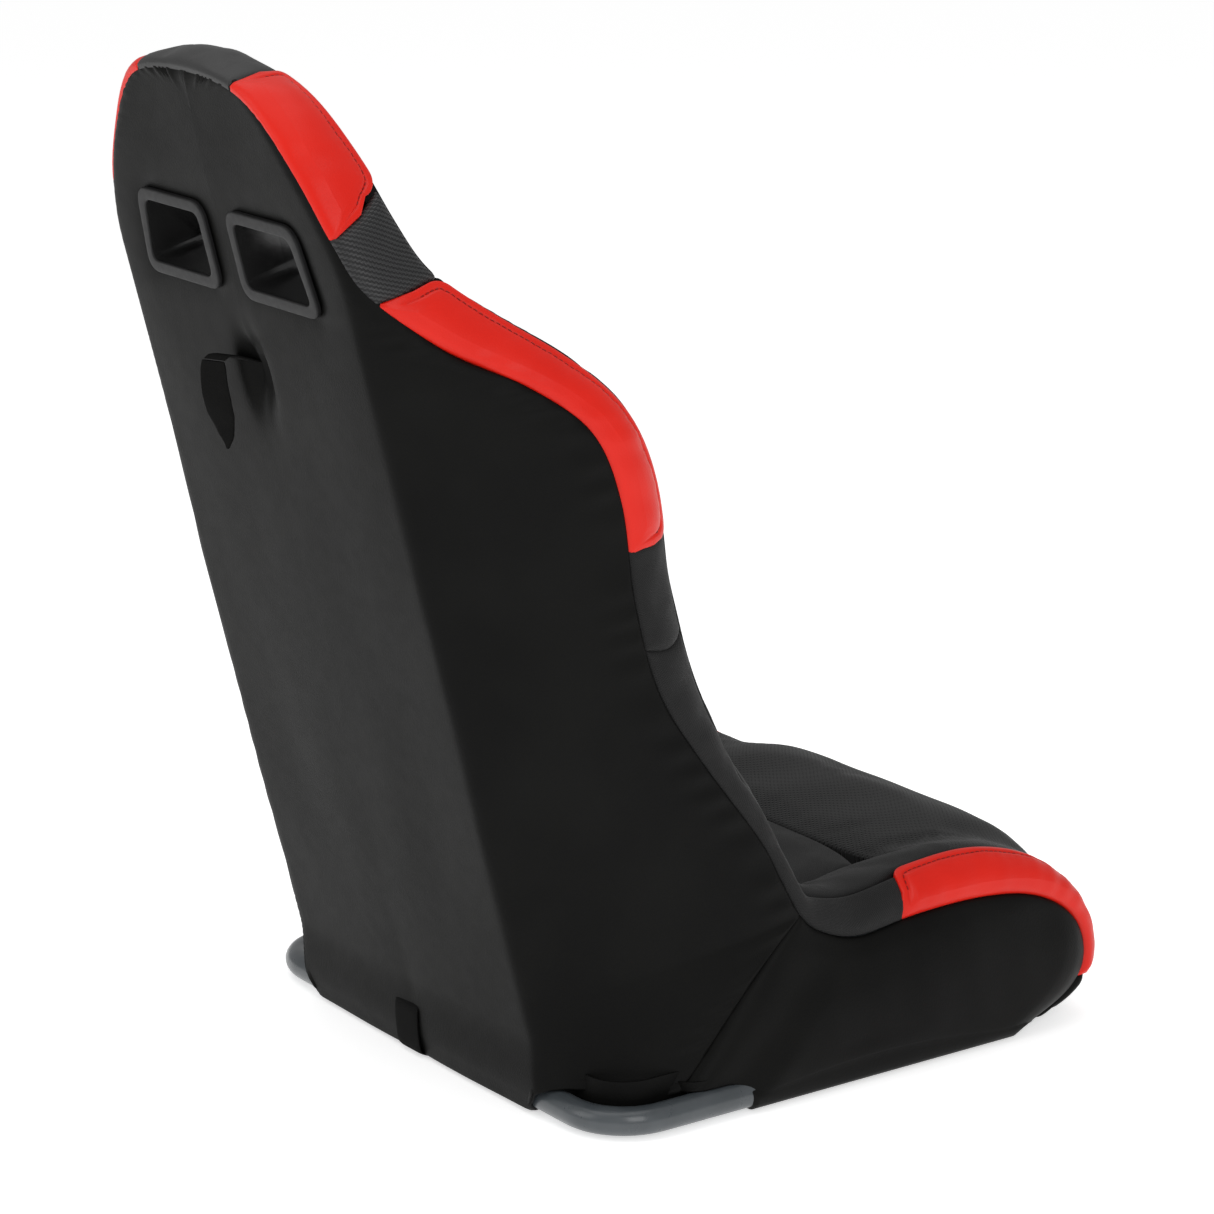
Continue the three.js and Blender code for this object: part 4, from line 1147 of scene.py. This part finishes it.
def build_rear_cover():
    x, h, d, apart, run, on_panel, shape = rear_cover()
    rows, columns = shape
    # the lower edge steps up over the bare tube
    edge = lower_edge(x, d)
    low = 8.0
    h = np.where(h < 80, np.maximum(h, 80 - (80 - h) * (80 - edge) / (80 - low)), h)
    d = d + rear_shape(x, h) * on_panel - flare(h) * on_panel
    # the seam draws the cover in; the head's edge is rounded, with gathers
    head = smooth((h - 700) / 60)
    rounding = 6.5 * np.maximum(1 - apart / 15, 0) ** 2 * head
    gathers = np.maximum(np.sin(run * 2 * np.pi / 13 + 2.5 * wobble(run[:, None], 30, 77)), -0.4)
    strength = head * (0.4 + 0.6 * smooth(wobble(run[:, None], 60, 78) + 0.5))
    crown = 1 - 0.85 * smooth((run - 70) / 120)
    ruffle = 1.5 * gathers * strength * crown * np.exp(-(((apart - 8) / 11) ** 2)) * smooth(apart / 6)
    d = d + rounding + ruffle
    points = on_back(x, h, d).reshape(rows, columns, 3)
    normals = vertex_normals(points.reshape(-1, 3), grid_faces(rows, columns))
    middle_col = normals.reshape(rows, columns, 3)[:, -1]
    middle_col[:, 0] = 0
    normals.reshape(rows, columns, 3)[0, :, 0] = 0
    normals = unit(normals)
    if normals.reshape(rows, columns, 3)[rows // 2, -1, 1] < 0:
        normals = -normals
    draw = -2.4 * np.exp(-apart / 1.8) - 0.6 * np.exp(-apart / 6)
    flat = np.stack([h, d], 1)
    side_wave = 1.3 * wobble(flat, 110, 301) + 0.5 * wobble(flat, 50, 302)
    fold = 1.1 * np.sin(run * 2 * np.pi / 34 + 2 * wobble(run[:, None], 70, 303))
    fold *= np.exp(-(((apart - 14) / 16) ** 2))
    height = draw + (side_wave * smooth(apart / 30) + fold * smooth(apart / 6)) * (1 - on_panel) * (1 - head)
    points = points.reshape(-1, 3) + normals * height[:, None]
    grid = points.reshape(rows, columns, 3)
    wrapped = wrap_under(grid)
    left = np.concatenate([grid, wrapped])
    right = left[:, ::-1] * np.array([-1, 1, 1])
    whole = np.concatenate([left, right[:, 1:]], 1)
    rows, columns = whole.shape[:2]
    verts = whole.reshape(-1, 3)
    faces = grid_faces(rows, columns)
    centre = verts[faces].mean(1)
    cx, ch, cd = centre[:, 0], height_of(centre), depth_of(centre)
    keep = (slot_distance(cx, ch) > 4.5) | (cd > 30)
    faces = faces[keep]
    normals = vertex_normals(verts, faces)
    if (normals * (verts - np.array([0, 0, 400]))).sum() < 0:
        normals = -normals
    back = verts - normals * COVER_T
    verts, faces = closed_shell(verts, faces, back)
    piece = make_piece("rear_cover_skin", verts, faces, BLACK, "vinyl")
    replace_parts(piece, "rear_cover")
    return piece


def wrap_under(grid):
    """Rows past the lower edge: round the ring's rear tube in the middle, and a turned hem at the sides."""
    last = grid[-1]
    turned = []
    radius = RAIL_R + 0.4 + COVER_T
    hem = smooth((np.abs(last[:, 0]) - 172) / 14)
    start = np.arctan2(RAIL_Z - last[:, 2], last[:, 1] - RAIL_REAR_Y)
    for n in range(1, 13):
        angle = lerp(start, math.radians(128), n / 12)
        reach = lerp(np.hypot(last[:, 1] - RAIL_REAR_Y, last[:, 2] - RAIL_Z), radius, min(1.0, n / 4))
        under = np.stack([last[:, 0], RAIL_REAR_Y + reach * np.cos(angle), RAIL_Z - reach * np.sin(angle)], 1)
        inner = unit(np.array([-1.0, -0.35, 0.0]) + 0 * last)
        inner[last[:, 0] > 205] = np.array([-1.0, 0, 0])
        curl = math.pi * min(1.0, n / 6)
        folded = last + inner * (1.6 * (1 - math.cos(curl)) + max(0, n - 6) * 0.2) + np.array(
            [0, 0, -1.0]) * 1.6 * math.sin(curl) + np.array([0, 0, 1.0]) * max(0, n - 6) * 1.2
        turned.append(lerp(under, folded, hem[:, None]))
    return np.array(turned)


build_rear_cover()


def side_cover(where, side):
    """The base's cover: from the seam, down the side, round and under the rail."""
    read = lambda run: evenly(run, 1.0)
    top = read(seam(np.linspace(14, 20.6, 500)))
    nose = read(seam(np.linspace(24, 20.6, 300)))
    hip = read(hip_line(np.linspace(1, 0, 200)) + np.array([0, -0.8, 0]))
    ys = np.concatenate([
        np.linspace(HIP_FOOT[1] - 0.8, 18, 40), np.linspace(16, -300, 200), np.linspace(-302, -328, 12),
    ])
    radius = RAIL_R + 0.4 + COVER_T
    bare = smooth((ys - 13) / 5)
    ahead = smooth((-296 - ys) / 32)
    arch = 11 * np.sin(np.pi * np.clip((16 - ys) / 279, 0, 1)) ** 0.8
    bottom = np.stack([
        rail_x(ys) + lerp(radius, 3.0, bare) - 12 * ahead,
        ys,
        lerp(RAIL_Z + arch, 30.0, bare) * (1 - ahead) + 9 * ahead,
    ], 1)
    bottom[0], bottom[-1] = hip[0], nose[0]
    bottom = softened(bottom, 6)
    sample = lambda run, at: np.stack(
        [np.interp(at, np.linspace(0, 1, len(run)), run[:, k]) for k in range(3)], -1)
    near = np.array([0, 0.004, 0.01, 0.018, 0.03, 0.048, 0.07, 0.1])
    rows = np.concatenate([near, np.linspace(0.1, 0.9, 90)[1:-1], 1 - near[::-1]])
    cols = np.concatenate([near, np.linspace(0.1, 0.9, 40)[1:-1], 1 - near[::-1]])
    bottom = evenly(bottom, 1.0)
    a, b = np.meshgrid(rows, cols, indexing="ij")
    low, high = sample(bottom, a), sample(top, a)
    rear, front = sample(hip, b), sample(nose, b)
    a3, b3 = a[..., None], b[..., None]
    corners = (
        (1 - a3) * (1 - b3) * bottom[0] + a3 * (1 - b3) * bottom[-1]
        + (1 - a3) * b3 * top[0] + a3 * b3 * top[-1]
    )
    grid = low * (1 - b3) + high * b3 + rear * (1 - a3) + front * a3 - corners
    swell = 16 * (a * (1 - a)) ** 0.7 * (b * (1 - b)) ** 0.8
    grid[..., 0] += 7.0 * swell / swell.max()
    flat = grid.reshape(-1, 3)[:, 1:]
    edge = np.minimum(np.minimum(a, 1 - a) * 400, (1 - b) * 150)
    wave = (1.1 * wobble(flat, 90, 401 + side) + 0.4 * wobble(flat, 40, 402 + side)).reshape(a.shape)
    grid[..., 0] += wave * smooth(edge / 25) * smooth(b * 5)
    grid[..., 0] -= 2.6 * np.exp(-edge / 1.8) + 0.6 * np.exp(-edge / 6)
    wrapped = []
    y = grid[:, 0, 1]
    bare, ahead = smooth((y - 13) / 5), smooth((-292 - y) / 20)
    for n in range(1, 13):
        angle = math.radians(125) * n / 12
        x0 = rail_x(y)
        arch = grid[:, 0, 2] - RAIL_Z
        under = np.stack([x0 + radius * math.cos(angle), y,
                          RAIL_Z + arch * max(0, 1 - n / 3) - radius * math.sin(angle)], 1)
        curl = math.pi * min(1.0, n / 6)
        hem = grid[:, 0] + np.array([-1.0, 0, 0]) * 1.6 * (1 - math.cos(curl)) + np.array([0, 0, -1.0]) * (
            1.6 * math.sin(curl) - max(0, n - 6) * 1.3)
        wrapped.append(lerp(under, hem, np.maximum(bare, ahead)[:, None]))
    grid = np.concatenate([np.array(wrapped)[::-1].transpose(1, 0, 2), grid], 1)
    rows_n, cols_n = grid.shape[:2]
    verts, faces = grid.reshape(-1, 3), grid_faces(rows_n, cols_n)
    normals = vertex_normals(verts, faces)
    if normals[:, 0].sum() < 0:
        normals = -normals
    verts, faces = closed_shell(verts, faces, verts - normals * COVER_T)
    verts[:, 0] *= side
    piece = make_piece(f"side_cover_skin_{where}", verts, faces, BLACK, "vinyl")
    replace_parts(piece, f"base_side_cover_{where}")
    return piece


for where, side in BOTH:
    side_cover(where, side)


def corner_shade_sheet(where, side):
    """A dark sheet seen in the gap over the bare tube at the ring's rear corner: painted shade for the cover's
    shaded inside, which also hides the glowing floor.
    """
    angles = np.radians(np.linspace(90, 0, 24))
    around = RAIL_BEND - RAIL_R - 3
    centre_x, centre_y = RAIL_REAR_X - RAIL_BEND, RAIL_REAR_Y - RAIL_BEND
    arc_x, arc_y = centre_x + around * np.cos(angles), centre_y + around * np.sin(angles)
    foot = np.stack([arc_x, arc_y, np.full(24, 4.0)], 1)
    foot = np.concatenate([[[140, foot[0, 1], 4]], foot, [[foot[-1, 0] - 4, 16, 4]]])
    foot = evenly(foot, 5.0)
    heights = np.linspace(0, 1, 12)
    wave = 1.2 * np.sin(np.arange(len(foot)) * 0.5)[:, None]
    sheet = foot[:, None] + np.array([0, 0, 1.0]) * (heights * 42)[None, :, None]
    sheet[..., 1] += wave * np.sin(heights * np.pi)
    verts, faces = sheet.reshape(-1, 3), grid_faces(len(foot), 12)
    normals = vertex_normals(verts, faces)
    verts, faces = closed_shell(verts, faces, verts - normals * 1.6)
    verts[:, 0] *= side
    # a dark sheet where the inside is only in shade: painted shade
    make_piece(f"corner_shade_sheet_{where}", verts, faces, BLACK, "vinyl")


for where, side in BOTH:
    corner_shade_sheet(where, side)

# ---------------------------------------------------------------- frame


def base_ring(side):
    centre = (RAIL_REAR_X - RAIL_BEND, RAIL_REAR_Y - RAIL_BEND)
    angles = np.radians(np.linspace(90, 0, 25))
    corner = np.stack([centre[0] + RAIL_BEND * np.cos(angles), centre[1] + RAIL_BEND * np.sin(angles),
                       np.full(25, RAIL_Z)], 1)
    ys = np.linspace(RAIL_REAR_Y - RAIL_BEND - 12, RAIL_FRONT_Y, 30)
    path = np.concatenate([[[0.2, RAIL_REAR_Y, RAIL_Z]], [[110, RAIL_REAR_Y, RAIL_Z]], corner,
                           np.stack([rail_x(ys), ys, np.full(30, RAIL_Z)], 1)])
    path[:, 0] *= side
    return sweep(softened(evenly(path, 3.0), 2.0), RAIL_R, sides=40)


def tube_at(u):
    return seam(u) + np.array([-19.0, 0, 0]) + inward(u) * 8


def pair_of_tubes(name, path, radius, **settings):
    for where, side in BOTH:
        verts, faces = sweep(np.asarray(path) * np.array([side, 1, 1]), radius, **settings)
        piece = make_piece(f"{name}_smooth_{where}", verts, faces, PAINT, "frame_steel")
        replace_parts(piece, f"{name}_{where}")


for where, side in BOTH:
    ring_piece = make_piece(f"base_rail_smooth_{where}", *base_ring(side), PAINT, "frame_steel")
    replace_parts(ring_piece, f"base_rail_{where}")
pair_of_tubes("torso_tube", smooth_path(tube_at(np.linspace(4.45, 13.9, 30))), 9.5)
pair_of_tubes("thigh_tube", smooth_path(tube_at(np.linspace(14.35, 21.6, 24))), 9.5)
pair_of_tubes("back_post", on_back(172, np.linspace(28.6, 800, 40), 16), 11.0)
crotch = tube_at(np.array([14.1]))[0]
pair_of_tubes("hip_brace", np.linspace([rail_x(70) - 23.5, 70, 21], crotch + [-3, 17, -17], 20), 9.5)
riser_top = tube_at(np.array([18.15]))[0][2] - 9.5 - 1.2
pair_of_tubes("front_riser", np.linspace([258, -250, RAIL_Z + RAIL_R + 0.6], [258, -250, riser_top], 12), 9.5)
half_arch = [(172, 802), (171, 812), (168, 821), (157, 844), (135, 880), (98, 908), (50, 922), (0, 925)]
arch = [on_back(x, h, 16) for x, h in half_arch] + [on_back(-x, h, 16) for x, h in half_arch[-2::-1]]
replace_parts(make_piece("head_arch_smooth", *sweep(smooth_path(arch), 9.5), PAINT, "frame_steel"), "head_arch")
for name, ends, radius in (
    ("shoulder_bar", on_back([-160, 160], 722, 16), 11.0),
    ("lumbar_bar", on_back([-160, 160], 330, 16), 11.0),
    ("seat_front_bar", np.array([[-234, -330, 76], [234, -330, 76]]), 11.0),
    ("base_front_tube", np.array([[-248.1, -262, RAIL_Z], [248.1, -262, RAIL_Z]]), RAIL_R),
):
    verts, faces = sweep(np.linspace(ends[0], ends[1], 24), radius, sides=32)
    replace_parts(make_piece(name + "_smooth", verts, faces, PAINT, "frame_steel"), name)

# ---------------------------------------------------------------- harness bezels


def slot_outline(grow, count=160):
    """Even points round the slot's outline grown outward by grow mm, with rounded corners."""
    low, high, inner = SLOT["low"] - grow, SLOT["high"] + grow, SLOT["inner"] - grow
    bottom, top = SLOT["outer_bottom"] + grow, SLOT["outer_top"] + grow
    corners = np.array([[inner, low], [bottom, low], [top, high], [inner, high]])
    r = SLOT["corner"] + grow * 0.75
    run = []
    for n in range(4):
        corner, before, after = corners[n], corners[n - 1], corners[(n + 1) % 4]
        a, b = corner + unit(before - corner) * r, corner + unit(after - corner) * r
        t = np.linspace(0, 1, 14)[:, None]
        run.append((1 - t) ** 2 * a + 2 * t * (1 - t) * corner + t**2 * b)
    run = np.concatenate([*run, run[0][:1]])
    return evenly(run, np.linalg.norm(np.diff(run, axis=0), axis=1).sum() / count)[:-1][:count]


def bezel(name, side, profile, glossy):
    """A moulded ring: a closed profile of (grow, depth) steps carried round the slot, some of them glossy."""
    rings, kinds = [], []
    for grow, depth in profile:
        outline = slot_outline(grow)
        rings.append(on_back(outline[:, 0], outline[:, 1], depth))
    count = min(len(r) for r in rings)
    verts = np.array([r[:count] for r in rings + rings[:1]]).reshape(-1, 3)
    faces = grid_faces(len(rings) + 1, count, wrap=True)
    for step in range(len(rings)):
        kinds += [1 if step in glossy else 0] * count
    verts = verts * np.array([side, 1, 1])
    return make_piece(name, verts, faces, [SATIN, GLOSS], "plastic", face_looks=kinds, sharp=35)


def fillet(corner, start, stop, steps=5):
    t = np.linspace(0, 1, steps)[:, None]
    corner, start, stop = (np.array(p, float) for p in (corner, start, stop))
    return [tuple(p) for p in (1 - t) ** 2 * start + 2 * t * (1 - t) * corner + t**2 * stop]


def bezel_profile(face, way, rim, walls):
    """A bezel's section, from its rim over the flange and down the tunnel. The flange faces way along d."""
    at = lambda grow, height: (grow, face + way * height)
    corner = fillet(at(FLANGE, 4.2), at(FLANGE, 2.4), at(FLANGE - 1.8, 4.2))
    mouth = fillet(at(0, 4.2), at(1.6, 4.2), at(0, 2.6))
    tunnel = [(0, walls[0]), (0.1, walls[1]), (0.2, walls[2]), (2.4, walls[2])]
    return [at(FLANGE, rim)] + corner + [at(6, 4.3)] + mouth + tunnel + [at(2.4, rim)]


PROFILES = {
    "rear": bezel_profile(0, -1, 0.2, (4, 18, 36.3)),
    "front": bezel_profile(70, 1, 0.4, (66, 50, 36.5)),
}
TUNNEL_STEPS = range(11, 15)
for where, side in BOTH:
    for end, profile in PROFILES.items():
        made = bezel(f"slot_bezel_{end}_{where}", side, profile, TUNNEL_STEPS)
        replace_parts(made, f"bezel_{end}_{where}")

# ---------------------------------------------------------------- straps


def ribbon(path, across, width, thick=2.2):
    """A flat tape along a path. across is its width's direction at each point, and width may change."""
    path, across = np.asarray(path, float), unit(np.asarray(across, float))
    tangents = unit(np.gradient(path, axis=0))
    up = unit(np.cross(tangents, across))
    width = np.broadcast_to(np.asarray(width, float), len(path))
    shares = np.linspace(-1, 1, 11)
    profile = [(s, 0.5) for s in shares] + [(s, -0.5) for s in shares[::-1]]
    rows = []
    for p, a, n, w in zip(path, across, up, width):
        row = []
        for s, t in profile:
            pinch = 1 - 0.5 * abs(s) ** 8
            row.append(p + a * s * w / 2 + n * t * thick * pinch)
        rows.append(row)
    verts = np.array(rows).reshape(-1, 3)
    count = len(profile)
    faces = grid_faces(len(path), count, wrap=True).tolist()
    last = (len(path) - 1) * count
    faces += [list(range(count)), list(range(last + count - 1, last - 1, -1))]
    travelled = along(path)
    uv = np.stack([np.tile([s for s, _ in profile], len(path)) * np.repeat(width, count) / 2,
                   np.repeat(travelled, count)], 1)
    return verts, faces, uv


def upper_strap():
    """A loop of webbing out of the cover's slit, with a loose pointed tail hanging from its fold."""
    root_line = ((16, 668, 20), (19, 676, 4), (25, 683, -8), (31, 685, -15), (35, 682, -19))
    root = smooth_path([on_back(*knot) for knot in root_line], 2.0)
    across = np.tile(unit(np.array([0.9, 0.4, 0.0])), (len(root), 1))
    verts, faces, uv = ribbon(root, across, 22)
    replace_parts(make_piece("strap_root_tape", verts, faces, WEBBING, "webbing", uvs=uv), "upper_strap_root")
    tail_line = ((36, 681, -20), (38, 662, -23), (39, 642, -24), (38, 622, -24), (35, 610, -26),
                 (34, 603, -28))
    tail = smooth_path([on_back(*knot) for knot in tail_line], 1.6)
    share = np.linspace(0, 1, len(tail))
    width = np.interp(share, [0, 0.08, 0.62, 0.86, 0.97, 1], [23, 26, 28, 17, 5, 2])
    twist = np.radians(np.interp(share, [0, 0.4, 1], [24, 30, 12]))
    across = np.stack([np.cos(twist), np.sin(twist), 0 * twist], 1)
    verts, faces, uv = ribbon(tail, across, width)
    tail_piece = make_piece("strap_tail_tape", verts, faces, WEBBING, "webbing", body="strap_tail", uvs=uv)
    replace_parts(tail_piece, "upper_strap_tail")


def lower_strap():
    """The webbing that ties the cover's hem: out of a slit low on the panel, over the edge and under."""
    x = 9
    line = [on_back(x, h, d) for h, d in ((56, 3.0), (52, -5.6), (40, -9.6), (26, -12.2), (12, -13.4))]
    line += [np.array([x, y, z]) for y, z in ((179.5, 4.4), (171, 1.6), (158, 1.3), (144, 3.4))]
    path = smooth_path(line, 2.5)
    verts, faces, uv = ribbon(path, np.tile([1.0, 0, 0], (len(path), 1)), 37)
    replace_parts(make_piece("hem_strap_tape", verts, faces, WEBBING, "webbing", uvs=uv), "lower_strap")


upper_strap()
lower_strap()

# ---------------------------------------------------------------- carried-over nodes

CARRIED = {"mount_tab": PAINT, "weld_nut": ZINC, "rail_plug": SATIN, "sling": SLING_MESH, "lacing": CORD}
for node_name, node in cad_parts.items():
    for key, look in CARRIED.items():
        if key in node_name:
            node.data.materials.clear()
            node.data.materials.append(look)

# ---------------------------------------------------------------- floor, light, camera


def area_light(name, place, target, size, power):
    data = bpy.data.lights.new(name, "AREA")
    data.shape = "RECTANGLE"
    data.size, data.size_y = size
    data.energy = power
    light = bpy.data.objects.new(name, data)
    light.location = place
    light.rotation_mode = "QUATERNION"
    light.rotation_quaternion = (Vector(place) - Vector(target)).to_track_quat("Z", "Y")
    bpy.context.scene.collection.objects.link(light)


def stage():
    mesh = bpy.data.meshes.new("floor")
    half = 30.0
    corners = [(-half, -half, 0), (half, -half, 0), (half, half, 0), (-half, half, 0)]
    mesh.from_pydata(corners, [], [(0, 1, 2, 3)])
    floor = bpy.data.objects.new("floor", mesh)
    look = Look("floor_white", (0.92, 0.92, 0.92), 0.9, specular=0.0)
    look.shader.inputs["Emission Color"].default_value = (1, 1, 1, 1)
    look.shader.inputs["Emission Strength"].default_value = 0.565
    mesh.materials.append(look.material)
    bpy.context.scene.collection.objects.link(floor)
    world = bpy.data.worlds.new("studio")
    world.use_nodes = True
    world.node_tree.nodes["Background"].inputs["Color"].default_value = (1, 1, 1, 1)
    world.node_tree.nodes["Background"].inputs["Strength"].default_value = 0.45
    bpy.context.scene.world = world
    seat_middle = (0, -0.02, 0.42)
    area_light("overhead", (0.2, 0.3, 3.2), seat_middle, (3.2, 3.2), 34)
    area_light("rear_key", (0.6, 3.4, 1.9), (0, 0.3, 0.5), (2.2, 2.2), 22)
    area_light("side_fill", (-3.4, 0.9, 2.2), seat_middle, (1.6, 2.4), 34)
    bpy.context.scene.view_settings.view_transform = "Standard"


def camera():
    data = bpy.data.cameras.new("camera")
    data.lens, data.sensor_width = 128.58, 36.0
    data.clip_start, data.clip_end = 0.1, 120
    made = bpy.data.objects.new("camera", data)
    azimuth, elevation = math.radians(235.59), math.radians(14.75)
    back = Vector((math.sin(azimuth) * math.cos(elevation), -math.cos(azimuth) * math.cos(elevation),
                   math.sin(elevation)))
    made.location = (-3.142, 2.125, 1.392)
    made.rotation_mode = "QUATERNION"
    made.rotation_quaternion = back.to_track_quat("Z", "Y")
    bpy.context.scene.collection.objects.link(made)
    bpy.context.scene.camera = made


stage()
camera()
